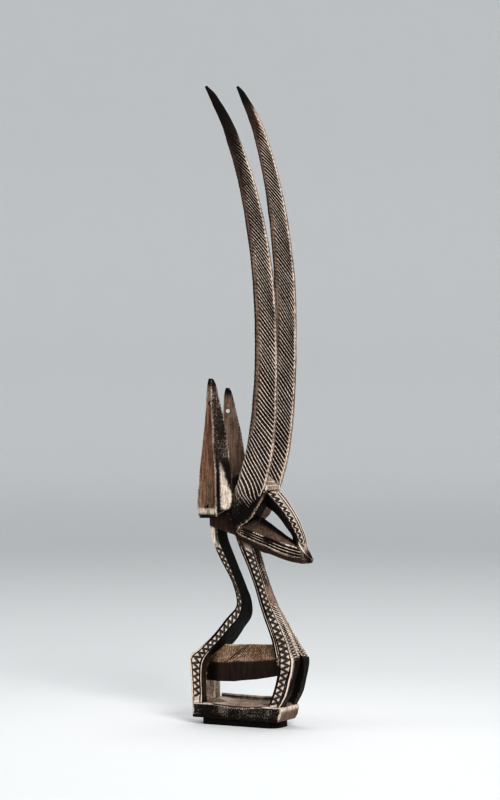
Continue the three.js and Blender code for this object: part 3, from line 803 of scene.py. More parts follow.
def horn_stations(total, knife, seed):
    """Lengths along the horn of every ring, each with its groove depth and tilt."""
    hand = random.Random(seed)
    stations = [(place, 0, 0) for place in np.linspace(0, 14, 5)]
    place = 18
    while place < total * HORN_SMOOTH_FROM:
        upward = float(rise(place / total, 0.15, 0.62))
        pitch = knife.ring_pitch_low * (1 - upward) + knife.ring_pitch_high * upward
        pitch *= hand.uniform(0.84, 1.16)
        strength = hand.uniform(0.65, 1.1) * float(rise(place, 10, 60))
        strength *= 1 - 0.8 * float(rise(place / total, 0.8, HORN_SMOOTH_FROM))
        lean = 2.5 * math.sin(place / 17 + seed)
        for share, groove in GROOVE_PROFILE:
            stations.append((place + pitch * share, groove * strength, lean))
        place += pitch
    stations += [(smooth, 0, 0) for smooth in np.linspace(place, total, 22)]
    return np.array(stations)


def horn(share, knife, grooved, front_band, seed):
    """One horn on the side Y < 0. Its tilted rings fade on the front ridge and on the back."""
    rows = np.array(HORN)
    above = rows[:, 2] > HORN_ROOT
    rows[above, 2] = HORN_ROOT + (rows[above, 2] - HORN_ROOT) * share
    rows[:, 1] *= -1
    fine = spline(rows, np.linspace(0, 1, 1500))
    line, girth = figure_points(fine[:, :3]), fine[:, 3] * UNIT
    lengths = lengths_along(line)
    tangent = unit(np.gradient(line, axis=0))
    forward = unit(points_at(tangent[:, 2], 0, -tangent[:, 0]))
    lateral = np.cross(tangent, forward)
    total = lengths[-1]
    place, groove, lean = (column[:, None] for column in horn_stations(total, knife, seed).T)
    tilt = 45 + 16 * rise(place / total, 0.1, 0.6) + lean
    tilt = np.tan(np.radians(tilt)) * rise(place, 0, 55) * rise(total - place, 0, 90)
    angle = np.linspace(0, 2 * math.pi, knife.horn_sides, endpoint=False)[None, :]
    slope = 0.88 * np.cos(angle) - 0.37 * np.abs(np.sin(angle))
    at = np.clip(place - np.interp(place, lengths, girth) * slope * tilt, 0, total)

    def here(values):
        return np.interp(at, lengths, values)

    turn = np.degrees(np.abs(np.arctan2(np.sin(angle), np.cos(angle))))
    back_band = 124 - 40 * rise(place, 70, 130)
    reach = rise(turn, front_band, front_band + 9)
    reach = reach * (1 - 0.8 * rise(turn, back_band, back_band + 20))
    inset = groove * reach * knife.ring_depth * grooved
    half = here(girth)
    out = (half - inset) * np.cos(angle)
    spread = (half * HORN_LATERAL_SHARE - inset) * np.sin(angle)
    columns = zip(line.T, forward.T, lateral.T)
    return np.stack([here(a) + here(b) * out + here(c) * spread for a, b, c in columns], axis=-1)


# The whole carving, and what its faces are called when they are coloured

# Tools whose faces are coloured apart, and how near a point lies to a tool or a solid that it is on
TOOLS_COLOURED_APART = {"window", "scoop", "hole", "dish", "leg_slot"}
TOOL_REACH = 2.0
SOLID_REACH = 6.0


def blank_solids(knife, grooved):
    """Every solid that the block of wood is made of, before the fine knife work."""
    far_horn = flipped(horn(FAR_HORN_SHARE, knife, grooved, 14, 5))
    near_horn = horn(1, knife, grooved, 16, 3)
    far_ear = ear_blade("far_ear", FAR_EAR_SHARE)
    mirror(far_ear)
    far_tools = ear_tools(FAR_EAR_SHARE)
    for tool in far_tools:
        mirror(tool)
    return {
        "neck": (member("neck", FRONT_MEMBER, NECK_RIDGE, 3.5), [leg_slot(*FRONT_SLOT)]),
        "back": (member("back", BACK_MEMBER, 0, 3.5), [leg_slot(*BACK_SLOT)]),
        "body": (body(), []),
        "plinth": (combine(plinth_block(), [plinth_rim()], "UNION"), [plinth_scoop()]),
        "throat": (throat(), [muzzle_window()]),
        "skull": (skull(), [muzzle_window()]),
        "muzzle": (muzzle(), [muzzle_window()]),
        "near_ear": (ear_blade("near_ear", 1), ear_tools(1)),
        "far_ear": (far_ear, far_tools),
        "near_horn": (loft("near_horn", near_horn), []),
        "far_horn": (loft("far_horn", far_horn), []),
    }


def mirror(made):
    """Move a solid to the other side of the plane Y = 0."""
    for vertex in made.data.vertices:
        vertex.co.y = -vertex.co.y
    made.data.flip_normals()


def assemble(knife, grooved, surfaces=None):
    """Cut and join all solids but the plinth. A list of surfaces gets each solid's and tool's faces."""
    parts = {}
    for name, (made, tools) in blank_solids(knife, grooved).items():
        if surfaces is not None:
            for part in [made, *tools]:
                corners = vertex_array(part.data.vertices, "co")
                kind = name if part is made else part.name.split(".")[0]
                surfaces.append((kind, surface_of(part), corners.min(axis=0), corners.max(axis=0)))
        if tools:
            combine(made, tools, "DIFFERENCE")
        parts[name] = made
    plinth = parts.pop("plinth")
    whole, *others = parts.values()
    return combine(whole, others, "UNION"), plinth


def face_names(points, surfaces):
    """Name of the nearest solid or tool for every point."""
    names = sorted({name for name, _, _, _ in surfaces})
    nearest = np.full(len(points), 1e9)
    label = np.zeros(len(points), int)
    for name, tree, low, high in surfaces:
        reach = TOOL_REACH if name in TOOLS_COLOURED_APART else SOLID_REACH
        close = np.all((points > low - reach) & (points < high + reach), axis=1)
        for i in np.flatnonzero(close):
            distance = tree.find_nearest(points[i], min(reach, nearest[i]))[3]
            if distance is not None and distance < nearest[i]:
                nearest[i] = distance
                label[i] = names.index(name)
    return np.array(names)[label]


def depth_below(points, tree):
    """How far each point lies from the uncut surface, in millimetres."""
    return np.array([tree.find_nearest(point)[3] or 0 for point in points])


# Colouring: a tint for every point, and how pale or hatched it is. Some tints and paleness are painted
# light and shade.

TINT_NAMES = ("soot", "brown", "tan", "cream", "ear", "honey")
# Heights and x of the window's back edge on the cheek
WINDOW_BACK = ((212, 216.6, 225, 237.5, 252.5), (0.5, 10, 19.5, 27.6, 37))
# The most that a cut's depth and an edge's convexity count for
DEEPEST_CUT = 1.2
CREST_GAIN = 2.5
# Heights on the ear and how far forward its rubbed patch reaches there
EAR_PATCH = ((232, 247, 270, 290), (1.1, 1.05, 0.62, 0.36))


def place_on(rows, points):
    """Parameter along a member, and share across its side face, of each point."""
    t = np.linspace(0, 1, 220)
    back = on_face(rows, t, 0, 1)[:, (0, 2)]
    across = on_face(rows, t, 1, 1)[:, (0, 2)] - back
    length = (across**2).sum(axis=1)
    away = points[:, None, (0, 2)] - back
    share = (away * across).sum(axis=2) / length
    away -= np.clip(share, 0, 1)[..., None] * across
    nearest = (away**2).sum(axis=2).argmin(axis=1)
    return t[nearest], share[np.arange(len(points)), nearest]


class Colouring:
    """Colour, paleness from rubbing and painted sheen, and hatching of a set of points, laid on in
    coats.
    """

    def __init__(self, names, points, normals, wood_colours):
        self.names = names
        self.x = points[:, 0] / UNIT
        self.y = points[:, 1] / UNIT
        self.z = (points[:, 2] - PLINTH_TOP) / UNIT
        self.points = points
        self.side = rise(np.abs(normals[:, 1]), 0.55, 0.8)
        self.near = -normals[:, 1]
        self.front = normals[:, 0]
        self.up = normals[:, 2]
        self.colours = {name: np.array(getattr(wood_colours, name)[:]) for name in TINT_NAMES}
        self.tint = np.tile(self.colours["brown"], (len(points), 1))
        self.rub = np.full(len(points), 0.25)
        self.hatch = np.zeros(len(points))

    def on(self, *names):
        """1 on the faces of the named parts and 0 elsewhere."""
        return np.isin(self.names, names).astype(float)

    def lay(self, where, colour, rub_and_sheen_amount):
        """Lay a colour where the mask is 1, paled by rubbing and painted sheen by the amount given."""
        share = np.clip(where, 0, 1)
        self.tint += share[:, None] * (self.colours[colour] - self.tint)
        self.rub += share * (rub_and_sheen_amount - self.rub)

    def across(self, name, rows):
        """Parameter and share across a member for its own points, and zeros elsewhere."""
        mine = self.names == name
        t, share = np.zeros(len(mine)), np.zeros(len(mine))
        t[mine], share[mine] = place_on(rows, self.points[mine])
        return t, share


def colour_back(coat):
    x, y, z, side, front, lay = coat.x, coat.y, coat.z, coat.side, coat.front, coat.lay
    back, slot = coat.on("back"), coat.on("leg_slot") * (x < 0)
    t, share = coat.across("back", BACK_MEMBER)
    face, edge = back * side, back * (1 - side)
    top, leg = face * fall(t, 0.15, 0.21), face * rise(t, 0.68, 0.76)
    low, high = along_rows(BACK_BAND, 1, t), along_rows(BACK_BAND, 2, t)
    lay(back, "brown", 0.2)
    # Painted shade: the back member's faces turned to +X are painted near-black, where the neck shades
    # them.
    lay(edge * rise(front, 0.0, 0.3), "soot", 0.0)
    lay(face, "soot", 0.1)
    lay(face * between(share, low - 0.04, high + 0.04, 0.02), "cream", 0.9)
    lay(top, "brown", 0.3)
    lay(top * fall(share, 0.5, 0.75), "cream", 0.7)
    lay(leg * fall(share, 0.76, 0.8), "tan", 0.62)
    lay(leg * between(share, 0.26, 0.74, 0.03), "cream", 0.75)
    lay(leg * between(share, 0.82, 0.9, 0.02), "soot", 0.0)
    lay(leg * rise(share, 0.92, 0.95), "tan", 0.8)
    inner = edge * fall(z, 50, 60) * rise(front, 0.3, 0.6)
    lay(inner, "honey", 0.3)
    lay(inner * rise(z, 30, 50), "brown", 0.15)
    # Painted light: the far back leg's inner face is painted pale tan for the light on it. The near
    # leg's inner face stays brown.
    lay(inner * (y < 0), "brown", 0.2)
    lay(inner * (y > 0) * fall(z, 40, 52), "tan", 1.0)
    lay(slot, "tan", 0.9)


def colour_neck(coat):
    x, y, side, front, up, lay = coat.x, coat.y, coat.side, coat.front, coat.up, coat.lay
    neck, slot = coat.on("neck"), coat.on("leg_slot") * (x > 0)
    t, share = coat.across("neck", FRONT_MEMBER)
    face, leg = neck * side, neck * side * rise(t, 0.74, 0.8)
    low, high = along_rows(NECK_BAND, 1, t), along_rows(NECK_BAND, 2, t)
    lay(neck, "brown", 0.15)
    lay(face, "soot", 0.08)
    lay(face * between(share, 0.14, 0.2, 0.02) * (t < 0.7), "tan", 0.85)
    lay(face * between(share, 0.27, 0.33, 0.03) * rise(t, 0.35, 0.45) * (t < 0.7), "brown", 0.6)
    lay(face * between(share, low - 0.04, high + 0.04, 0.02), "cream", 0.6)
    lay(face * fall(t, 0.09, 0.13), "brown", 0.35)
    lay(leg * between(share, 0.72, 0.84, 0.03), "brown", 0.3)
    lay(leg * rise(share, 0.93, 0.96), "brown", 0.55)
    facet = neck * (1 - side) * rise(front, 0.2, 0.5)
    lay(facet, "brown", 0.5)
    lay(facet * between(t, 0.27, 0.36, 0.03), "tan", 0.55)
    lay(facet * between(t, 0.35, 0.47, 0.02), "brown", 0.9)
    lay(facet * between(t, 0.45, 0.66, 0.03), "tan", 0.95)
    lay(facet * rise(t, 0.64, 0.68), "soot", 0.05)
    lay(0.8 * facet * rise(t, 0.84, 0.96), "brown", 0.35)
    edge = facet * rise(-y, 16.5, 18.5) * rise(t, 0.6, 0.66)
    lay(edge * fall(t, 0.76, 0.86), "tan", 1.0)
    lay(edge * rise(-y, 21, 22), "tan", 0.9)
    # Painted shade: the slot between the front legs is painted near-black. Its upward faces are painted
    # cream as painted light.
    lay(slot, "soot", 0.05)
    lay(slot * rise(up, 0.5, 0.8), "cream", 0.8)


def colour_base(coat):
    x, y, z, lay = coat.x, coat.y, coat.z, coat.lay
    side, near, front, up = coat.side, coat.near, coat.front, coat.up
    body, plinth, dish = coat.on("body"), coat.on("plinth", "rim"), coat.on("dish")
    lay(body, "brown", 0.05)
    # Painted shade: the body's sides are darkened.
    lay(0.5 * body * side, "soot", 0.1)
    roof = body * rise(up, 0.2, 0.5)
    lay(roof, "honey", 0.35)
    coat.hatch += 0.9 * roof
    lay(roof * rise(x, -12, 10), "honey", 0.15)
    lay(roof * rise(-x, 8, 18) * fall(-x, 26, 34), "honey", 0.42)
    # Painted shade: the body's back end, in the hollow beside the back member, is darkened, and its
    # lower sides there are painted near-black.
    lay(body * rise(-x, 36, 44), "brown", 0.1)
    lay(body * rise(-x, 30, 38) * fall(up, 0.1, 0.4), "soot", 0.0)
    lay(plinth, "brown", 0.2)
    flank, end = plinth * side, plinth * rise(front, 0.4, 0.7)
    # Painted shade: the plinth's sides are painted dark and their lowest band black. Painted light: its
    # end and top are painted tan, with the upper end cream.
    lay(flank, "soot", 0.6)
    lay(flank * fall(z, -17, -14), "soot", 0.0)
    lay(end, "tan", 0.45)
    lay(end * rise(z, -7, -3), "cream", 0.7)
    lay(plinth * rise(up, 0.4, 0.8), "tan", 0.5)
    lay(dish, "tan", 0.92)
    lay(dish * rise(-x, 12, 38), "cream", 0.85)
    lay(dish * rise(np.abs(near), 0.5, 0.8), "tan", 0.9)
    near_edge = fall(y * UNIT, 2 - HALF_WIDTH, 5 - HALF_WIDTH)
    lay(dish * near_edge * (x > -40), "brown", 0.1)


def colour_head(coat):
    x, y, z, lay = coat.x, coat.y, coat.z, coat.lay
    side, near, front, up = coat.side, coat.near, coat.front, coat.up
    skull, muzzle, window = coat.on("skull"), coat.on("muzzle"), coat.on("window")
    lay(coat.on("throat"), "brown", 0.12)
    lay(skull, "soot", 0.15)
    lay(skull * rise(front + up, 0.6, 1.0) * rise(z, 240, 252), "tan", 0.9)
    lay(muzzle, "brown", 0.15)
    cheek = muzzle * side
    lay(cheek, "brown", 0.4)
    lay(cheek * rise(z, 208, 214), "soot", 0.12)
    rim = np.interp(z, *WINDOW_BACK) - x
    lay(cheek * rise(z, 207, 211) * between(rim, -0.8, 3, 0.6), "tan", 0.6)
    lay(muzzle * rise(front + up, 0.5, 0.8) * rise(z, 178, 188), "brown", 0.95)
    arris = fall(y / along_rows(MUZZLE, 4, x), -0.9, -0.76)
    lay(muzzle * arris * rise(z, 190, 200) * rise(x, 30, 38), "soot", 0.0)
    lay(muzzle * rise(x, 80, 86), "soot", 0.3)
    # Painted shade: the window through the muzzle is painted near-black inside. Painted light: its
    # upward jaw faces, and its far-side faces turned to the key light, are painted tan.
    lay(window, "soot", 0.03)
    jaw = window * rise(up, 0.1, 0.35) * fall(near, 0, 1)
    lay(jaw * rise(np.abs(y), 5, 9), "tan", 0.55)
    lay(window * (y > 1) * rise(front, 0.4, 0.7), "tan", 0.3)


def colour_ears(coat):
    x, z, near, front, up, lay = coat.x, coat.z, coat.near, coat.front, coat.up, coat.lay
    rows = spline(EAR, np.linspace(0, 1, 200))
    for name, share in (("near_ear", 1), ("far_ear", FAR_EAR_SHARE)):
        ear = coat.on(name)
        height = EAR_FOOT + (z - EAR_FOOT) / share
        start, end = (np.interp(height, rows[:, 0], rows[:, column]) for column in (3, 5))
        along = (x - start) / np.maximum(end - start, 1)
        lay(ear, "tan", 0.38)
        facet = ear * rise(front, 0.15, 0.4)
        lay(facet, "soot", 0.2)
        lay(0.5 * facet * rise(height, 282, 300), "brown", 0.3)
        coat.hatch += 0.85 * facet * rise(height, 282, 300)
        # The ear's front facet is darkened. Painted light: the patch low on it, which turns to the key
        # light, is painted cream.
        reach = np.interp(height, *EAR_PATCH)
        patch = rise(along, 0.24, 0.34) * fall(along, reach - 0.06, reach + 0.06)
        foot = rise(height - 28 * (along - 0.6) ** 2, 231, 234)
        lay(facet * patch * foot * fall(height, 280, 294), "cream", 0.7)
        lip = ear * fall(height, 231, 236) * rise(near, 0.3, 0.6)
        lay(lip * fall(front, 0.1, 0.3), "cream", 0.35)
        lay(lip * fall(height, 225.5, 228), "soot", 0.3)
        lay(lip * between(along, -0.35, -0.1, 0.12) * fall(height, 227, 231), "brown", 0.4)
        # Painted shade: faces of the ears that turn downwards are painted near-black.
        lay(ear * fall(up, -0.8, -0.4), "soot", 0.0)
        lay(ear * rise(height, 374, 384), "soot", 0.1)
    scoop = coat.on("scoop")
    lay(scoop, "ear", 0.02)
    lay(scoop * fall(z, 240, 310), "honey", 0.1)
    lay(0.6 * scoop * fall(z, 240, 290), "tan", 0.2)
    lay(scoop * rise(z, 350, 362), "tan", 0.4)
    # Painted shade: the holes through the ears are painted black.
    lay(coat.on("hole"), "soot", 0.0)


def colour_horns(coat):
    z, near, front, lay = coat.z, coat.near, coat.front, coat.lay
    near_horn, far_horn = coat.on("near_horn"), coat.on("far_horn")
    horns = near_horn + far_horn
    lay(horns, "brown", 0.8)
    lay(horns * rise(front, 0.35, 0.8), "brown", 0.75)
    # Painted highlight: the front ridge of each horn is painted tan, where the key light catches it.
    lay(horns * rise(front, 0.8, 0.95) * (1 - 0.6 * rise(z, 300, 380)), "tan", 0.6)
    back = horns * rise(z, 270, 340)
    lay(back * rise(-front, -0.1, 0.1), "brown", 0.3)
    lay(back * between(-front, 0.2, 0.5, 0.1), "tan", 0.5)
    # Painted shade: the back of each horn, turned away from the key light, is painted near-black.
    lay(horns * between(-front, 0.55, 0.8, 0.05) * rise(z, 300, 420), "soot", 0.0)
    lay(horns * between(-near, 0.34, 0.62, 0.05) * rise(front, 0.3, 0.5), "brown", 0.0)
    lay(near_horn * rise(z, 520, 680) * fall(front, 0.4, 0.8), "brown", 0.1)
    coat.hatch += 0.5 * horns * rise(-front, -0.1, 0.1) * fall(z, 600, 640)
    lay(horns * rise(z, 655, 705), "brown", 0.15)
    lay(near_horn * rise(z, 650, 705), "soot", 0.1)
    # Painted highlight: the far horn's upper front, turned to the key light, is painted tan.
    light = between(front, 0.55, 0.9, 0.12) * rise(near, -0.3, 0.0)
    lay(far_horn * between(z, 640, 718, 12) * light, "tan", 0.8)
    lay(horns * rise(z, 712, 730), "soot", 0.05)
    lay(horns * fall(z, 236, 258), "soot", 0.35)


def colour_carving(names, points, normals, wood_colours):
    """Colour every part in turn, with its stains and its painted light and shade, and give back what
    the wood's material reads.
    """
    coat = Colouring(names, points, normals, wood_colours)
    for layer in (colour_back, colour_neck, colour_base, colour_head, colour_ears, colour_horns):
        layer(coat)
    return {"tint": coat.tint, "rub": coat.rub, "hatch": np.clip(coat.hatch, 0, 1)}


def convexity(mesh, points, normals):
    """How far each point stands out from its neighbours: edges and crests above 0, hollows below."""
    edges = np.empty(len(mesh.edges) * 2, int)
    mesh.edges.foreach_get("vertices", edges)
    a, b = edges.reshape(-1, 2).T
    way = points[b] - points[a]
    length = np.maximum(np.linalg.norm(way, axis=1), 1e-6)
    way = way / length[:, None]
    weight = 1 / np.maximum(length, 0.4)
    total = np.zeros(len(points))
    share = np.zeros(len(points))
    for here, sign in ((a, -1), (b, 1)):
        np.add.at(total, here, sign * np.einsum("ij,ij->i", way, normals[here]) * weight)
        np.add.at(share, here, weight)
    return total / np.maximum(share, 1e-6)


def vertex_array(source, field):
    """One vector for every point of a mesh."""
    values = np.empty(len(source) * 3)
    source.foreach_get(field, values)
    return values.reshape(-1, 3)


def keep_values(mesh, name, values):
    """Store a number or a colour on every point of the mesh."""
    kind = "FLOAT_COLOR" if values.ndim == 2 else "FLOAT"
    attribute = mesh.attributes.new(name, kind, "POINT")
    if values.ndim == 2:
        values = np.hstack([values, np.ones((len(values), 1))])
        attribute.data.foreach_set("color", values.ravel())
    else:
        attribute.data.foreach_set("value", values)


def hand_made(points):
    """Slight unevenness of the whole carving. It dies out at the underside and stays in the box."""
    noise.seed_set(UNEVENNESS_SEED)
    amount = UNEVENNESS * rise(points[:, 2], PLINTH_BOTTOM + 1, PLINTH_BOTTOM + 8)
    moved = []
    for point in map(Vector, points):
        moved.append(noise.noise_vector(point / 22) + 0.4 * noise.noise_vector(point / 7))
    moved = points + np.array(moved) * amount[:, None]
    return np.clip(moved, np.array(CARVING_LOW), np.array(CARVING_HIGH))


def refine(mesh, limit):
    """Split long edges, so that colours keep to their places on wide faces."""
    shape = bmesh.new()
    shape.from_mesh(mesh)
    bmesh.ops.triangulate(shape, faces=shape.faces)
    for _ in range(3):
        edges = [edge for edge in shape.edges if edge.calc_length() > limit]
        bmesh.ops.subdivide_edges(shape, edges=edges, cuts=1)
        bmesh.ops.triangulate(shape, faces=[face for face in shape.faces if len(face.verts) > 3])
    shape.to_mesh(mesh)
    shape.free()


def carve_antelope(knife, wood_colours):
    """The whole carving, with the values that its material reads kept on its points."""
    blank, plinth = assemble(knife, False)
    uncut = surface_of(combine(blank, [plinth], "UNION"))
    bpy.data.objects.remove(blank, do_unlink=True)
    surfaces = []
    carving, plinth = assemble(knife, True, surfaces)
    combine(carving, member_cuts(knife) + body_cuts(knife) + muzzle_cuts(knife), "DIFFERENCE")
    combine(carving, [plinth], "UNION")
    mesh = carving.data
    refine(mesh, LONGEST_EDGE)
    points, normals = vertex_array(mesh.vertices, "co"), vertex_array(mesh.vertex_normals, "vector")
    values = colour_carving(face_names(points, surfaces), points, normals, wood_colours)
    values["cut"] = np.clip(depth_below(points, uncut), 0, DEEPEST_CUT)
    values["crest"] = np.clip(convexity(mesh, points, normals) * CREST_GAIN, -1, 1)
    for name, value in values.items():
        keep_values(mesh, name, value)
    mesh.vertices.foreach_set("co", (hand_made(points) * METRES).ravel())
    mesh.shade_smooth()
    mesh.set_sharp_from_angle(angle=math.radians(SHARP_ANGLE))
    mesh.update()
    carving.name = "antelope"
    mesh.name = "antelope"
    return carving


# Materials

LOW_GLOSS = 0.1
# Radians per metre along X, Y and Z of the two waves that cross in the hatched scratches
SCRATCH_WAVES = ((1300, 900, 2000), (1300, 900, -2000))


class Value:
    """A shader socket that takes part in arithmetic: an expression adds its Math nodes."""

    def __init__(self, tree, socket=None):
        self.tree = tree
        self.socket = socket

    def node(self, kind, settings=None, inputs=None, output=0):
        """Add a node, set its settings and then its sockets, and give back one of its outputs."""
        made = self.tree.nodes.new(kind)
        for name, setting in (settings or {}).items():
            setattr(made, name, setting)
        self.fill(made, inputs or {})
        return Value(self.tree, made.outputs[output])

    def fill(self, made, inputs):
        """Link a node's sockets to values, and set those that are given as plain numbers."""
        for name, value in inputs.items():
            if isinstance(value, Value):
                self.tree.links.new(value.socket, made.inputs[name])
            else:
                made.inputs[name].default_value = value

    def math(self, operation, first, second=0.0, clamp=False):
        settings = {"operation": operation, "use_clamp": clamp}
        return self.node("ShaderNodeMath", settings, {0: first, 1: second})

    def __add__(self, other):
        return self.math("ADD", self, other)

    def __sub__(self, other):
        return self.math("SUBTRACT", self, other)

    def __rsub__(self, other):
        return self.math("SUBTRACT", other, self)

    def __mul__(self, other):
        return self.math("MULTIPLY", self, other)

    __radd__ = __add__
    __rmul__ = __mul__

    def clamped(self):
        return self.math("ADD", self, 0.0, clamp=True)

    def eased(self, low, high):
        """0 below low and 1 above high, with a soft change between them."""
        settings = {"interpolation_type": "SMOOTHSTEP"}
        inputs = {"Value": self, "From Min": low, "From Max": high}
        return self.node("ShaderNodeMapRange", settings, inputs)

    def mixed(self, first, second):
        """The first colour where this is 0 and the second where it is 1."""
        settings = {"data_type": "RGBA"}
        return self.node("ShaderNodeMix", settings, {0: self, 6: first, 7: second}, output=2)

    def place(self):
        """Position in the object's own space, in metres."""
        return self.node("ShaderNodeTexCoord", output=3)

    def vector_math(self, operation, first, second, output=0):
        settings = {"operation": operation}
        return self.node("ShaderNodeVectorMath", settings, {0: first, 1: second}, output)

    def noise(self, stretch, scale, detail=3.0, roughness=0.6):
        """Noise with features of about 1 / scale of a metre, longer where stretch is below 1."""
        place = self.vector_math("MULTIPLY", self.place(), stretch)
        inputs = {"Vector": place, "Scale": scale, "Detail": detail, "Roughness": roughness}
        return self.node("ShaderNodeTexNoise", None, inputs)

    def bumps(self, strength, distance):
        """Normal of a surface that has this height."""
        inputs = {"Strength": strength, "Distance": distance, "Height": self}
        return self.node("ShaderNodeBump", None, inputs)


def new_material(name):
    """A material, what adds its nodes, and its shader, which has the low gloss of old dry wood."""
    material = bpy.data.materials.new(name)
    material.use_nodes = True
    shader = material.node_tree.nodes["Principled BSDF"]
    shader.inputs["Specular IOR Level"].default_value = LOW_GLOSS
    return material, Value(material.node_tree), shader


def opaque(colour):
    return (*colour, 1)


def carved_wood(wood_colours):
    """Stained wood: tinted by face, with some painted light and shade, dark in every cut as patina and
    in concave creases as patina with painted shade, and pale on the crests from rubbing with painted
    highlight.
    """
    material, shop, shader = new_material("carved_wood")

    def stored(name, output=2):
        return shop.node("ShaderNodeAttribute", {"attribute_name": name}, None, output)

    tint = stored("tint", 0)
    rub, cut, crest, hatch = (stored(name) for name in ("rub", "cut", "crest", "hatch"))
    groove, cream = opaque(wood_colours.groove), opaque(wood_colours.cream)
    cloud = shop.noise((1, 1, 0.6), 70, 4)
    grain = shop.noise((1, 1, 0.08), 480)
    fleck = shop.noise((1, 1, 0.7), 640, 3, 0.7)
    place = shop.place()
    slant, counter = (
        shop.math("SINE", shop.vector_math("DOT_PRODUCT", place, wave, 1)) for wave in SCRATCH_WAVES)
    scratches = hatch * (slant * counter + fleck * 1.2 - 0.6).eased(0.0, 0.6)
    # Paleness comes from rubbing and real wear, and also stands for painted highlights on the crests
    # and on faces given a high rub.
    wear_and_sheen = rub * 0.55 + crest.eased(0.05, 0.4) * (rub * 0.55 + 0.1) + scratches * 0.34
    wear_and_sheen = wear_and_sheen + (fleck - 0.5) * 0.9 + (cloud - 0.5) * 0.6
    pale = wear_and_sheen.eased(0.3, 0.95)
    mottle = (grain * 0.9 + fleck * 0.5 + cloud * 0.5).eased(0.8, 1.12)
    faces = (mottle * 0.75 + 0.25 + rub * 0.3).clamped().mixed(groove, tint)
    sunk = (cut + (fleck - 0.5) * 0.35).eased(0.15, 0.7)
    # Concave creases are darkened too: patina with painted crease shade.
    sunk = (sunk + (0 - crest).eased(0.25, 0.8) * 0.5).clamped()
    height = grain * 0.5 + fleck * 0.6 + cloud * 0.8 + scratches * 0.9
    shop.fill(shader, {
        "Base Color": (sunk * 0.92).mixed(pale.mixed(faces, cream), groove),
        "Roughness": 0.72 - pale * 0.15 + sunk * 0.2 + (fleck - 0.5) * 0.25,
        "Normal": height.bumps(0.5, 0.0007),
    })
    return material


def blackened_wood(wood_colours):
    """Sooty wood with small brown flecks."""
    material, shop, shader = new_material("blackened_wood")
    fleck = shop.noise((1, 1, 1), 600, 4)
    shop.fill(shader, {
        "Base Color": fleck.eased(0.6, 0.9).mixed(opaque(wood_colours.soot), opaque(wood_colours.brown)),
        "Roughness": 0.7,
        "Normal": fleck.bumps(0.3, 0.0005),
    })
    return material


def pale_floor(look):
    """Pale where the crest stands, greyer further out as painted shade where less light falls, and pale
    again up the backdrop.
    """
    material, shop, shader = new_material("pale_floor")
    radius = shop.vector_math("LENGTH", shop.place(), (0, 0, 0), 1)
    normal = shop.node("ShaderNodeNewGeometry", output=1)
    level = shop.vector_math("DOT_PRODUCT", normal, (0, 0, 1), 1)
    outer = radius.eased(0.12, 0.7) * level.eased(0.9, 1.0)
    shop.fill(shader, {
        "Base Color": outer.mixed(opaque(look.floor), opaque(look.shaded_outer_floor)),
        "Roughness": 0.9,
    })
    return material


# The stage, in metres

# Radius and height of the floor, which turns up into a backdrop all round
FLOOR_PROFILE = ((0.02, 0), (1.0, 0), (3.4, 0), (4.2, 0.12), (4.8, 0.5), (5.1, 1.2), (5.2, 4.5))
FLOOR_SIDES = 96
# Name, place and width of each soft light, and what they all point at
LIGHTS = (
    ("key", (2.0, -1.7, 1.9), 1.3), ("fill", (-2.4, -1.6, 1.3), 2.0), ("top", (-0.2, 0.6, 2.6), 1.8),
)
LIT_POINT = (0, 0, 0.35)
STUDIO_COLOUR = (0.755, 0.79, 0.8)
STUDIO_STRENGTH = 0.58
# Lens and sensor in millimetres, and how far the camera stands to one side and above the ground
CAMERA_LENS = 108.75
CAMERA_SENSOR = 36
CAMERA_ASIDE = 0.0038
CAMERA_HEIGHT = 0.3894


def lay_floor(look):
    """A round floor that turns up into a backdrop."""
    radius, height = np.array(FLOOR_PROFILE).T
    angles = np.linspace(0, 2 * math.pi, FLOOR_SIDES, endpoint=False)
    columns = [(radius * math.cos(angle), radius * math.sin(angle), height) for angle in angles]
    faces = walls(len(FLOOR_PROFILE), FLOOR_SIDES) + [list(range(FLOOR_SIDES))]
    floor = solid("floor", rings_through(*columns).reshape(-1, 3), faces)
    floor.data.shade_smooth()
    floor.data.materials.append(pale_floor(look))


def light_studio(scene, look):
    """Three round soft lights, an even pale light from all sides, and the picture's contrast."""
    for name, place, width in LIGHTS:
        light = bpy.data.lights.new(name, "AREA")
        light.shape = "DISK"
        light.size = width
        light.energy = getattr(look, name + "_power")
        made = bpy.data.objects.new(name, light)
        made.location = place
        made.rotation_euler = (Vector(LIT_POINT) - made.location).to_track_quat("-Z", "Y").to_euler()
        scene.collection.objects.link(made)
    scene.world = bpy.data.worlds.new("studio")
    scene.world.use_nodes = True
    background = scene.world.node_tree.nodes["Background"]
    background.inputs["Color"].default_value = opaque(STUDIO_COLOUR)
    background.inputs["Strength"].default_value = STUDIO_STRENGTH
    scene.view_settings.view_transform = "Standard"
    scene.view_settings.look = "Medium High Contrast"


def place_camera(scene, look):
    """A level camera, turned round the crest from its side, a little aside of its middle."""
    camera = bpy.data.cameras.new("camera")
    camera.sensor_fit = "VERTICAL"
    camera.sensor_height = CAMERA_SENSOR
    camera.lens = CAMERA_LENS
    camera.clip_end = 50
    made = bpy.data.objects.new("camera", camera)
    turn = look.camera_azimuth
    away = Vector((math.sin(turn), -math.cos(turn), 0)) * look.camera_distance
    aside = Vector((math.cos(turn), math.sin(turn), 0)) * CAMERA_ASIDE
    made.location = away + aside + Vector((0, 0, CAMERA_HEIGHT))
    made.rotation_euler = (math.pi / 2, 0, turn)
    scene.collection.objects.link(made)
    scene.camera = made


# Operators, one for each piece and one for the stage


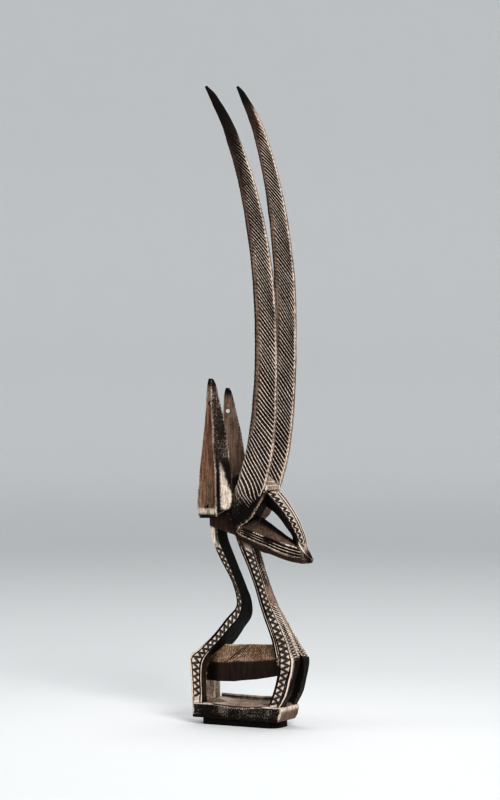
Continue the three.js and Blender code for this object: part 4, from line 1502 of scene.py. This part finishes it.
class CREST_OT_antelope(bpy.types.Operator):
    """Carve the antelope with its plinth and stain it"""
    bl_idname = "crest.antelope"
    bl_label = "Carve antelope"

    def execute(self, context):
        scene = context.scene
        carving = carve_antelope(scene.crest_knife_work, scene.crest_patina)
        carving.data.materials.clear()
        carving.data.materials.append(carved_wood(scene.crest_patina))
        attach(carving, "root")
        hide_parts("antelope_carving")
        return {"FINISHED"}


class CREST_OT_foot_slab(bpy.types.Operator):
    """Give the foot slab below the plinth its blackened finish"""
    bl_idname = "crest.foot_slab"
    bl_label = "Finish foot slab"

    def execute(self, context):
        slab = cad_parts["foot_slab"]
        slab.data.materials.clear()
        slab.data.materials.append(blackened_wood(context.scene.crest_patina))
        return {"FINISHED"}


class CREST_OT_stage(bpy.types.Operator):
    """Set up the pale floor, the soft lights and the camera"""
    bl_idname = "crest.stage"
    bl_label = "Set up stage"

    def execute(self, context):
        look = context.scene.crest_stage
        lay_floor(look)
        light_studio(context.scene, look)
        place_camera(context.scene, look)
        return {"FINISHED"}


class CREST_PT_panel(bpy.types.Panel):
    bl_label = "Antelope crest"
    bl_idname = "CREST_PT_panel"
    bl_space_type = "VIEW_3D"
    bl_region_type = "UI"
    bl_category = "Crest"

    def draw(self, context):
        for maker in OPERATORS:
            self.layout.operator(maker.bl_idname)
        for group in GROUPS:
            settings = getattr(context.scene, group)
            for name in settings.__annotations__:
                self.layout.prop(settings, name)


OPERATORS = (CREST_OT_antelope, CREST_OT_foot_slab, CREST_OT_stage)
GROUPS = {"crest_knife_work": CrestKnifeWork, "crest_patina": CrestWoodColours, "crest_stage": CrestStage}


def register():
    for group in GROUPS.values():
        bpy.utils.register_class(group)
    for maker in OPERATORS:
        bpy.utils.register_class(maker)
    bpy.utils.register_class(CREST_PT_panel)
    for name, group in GROUPS.items():
        setattr(bpy.types.Scene, name, PointerProperty(type=group))


def unregister():
    for name in GROUPS:
        delattr(bpy.types.Scene, name)
    bpy.utils.unregister_class(CREST_PT_panel)
    for maker in reversed(OPERATORS):
        bpy.utils.unregister_class(maker)
    for group in GROUPS.values():
        bpy.utils.unregister_class(group)


def main():
    register()
    bpy.ops.crest.antelope()
    bpy.ops.crest.foot_slab()
    bpy.ops.crest.stage()


if __name__ == "__main__":
    main()
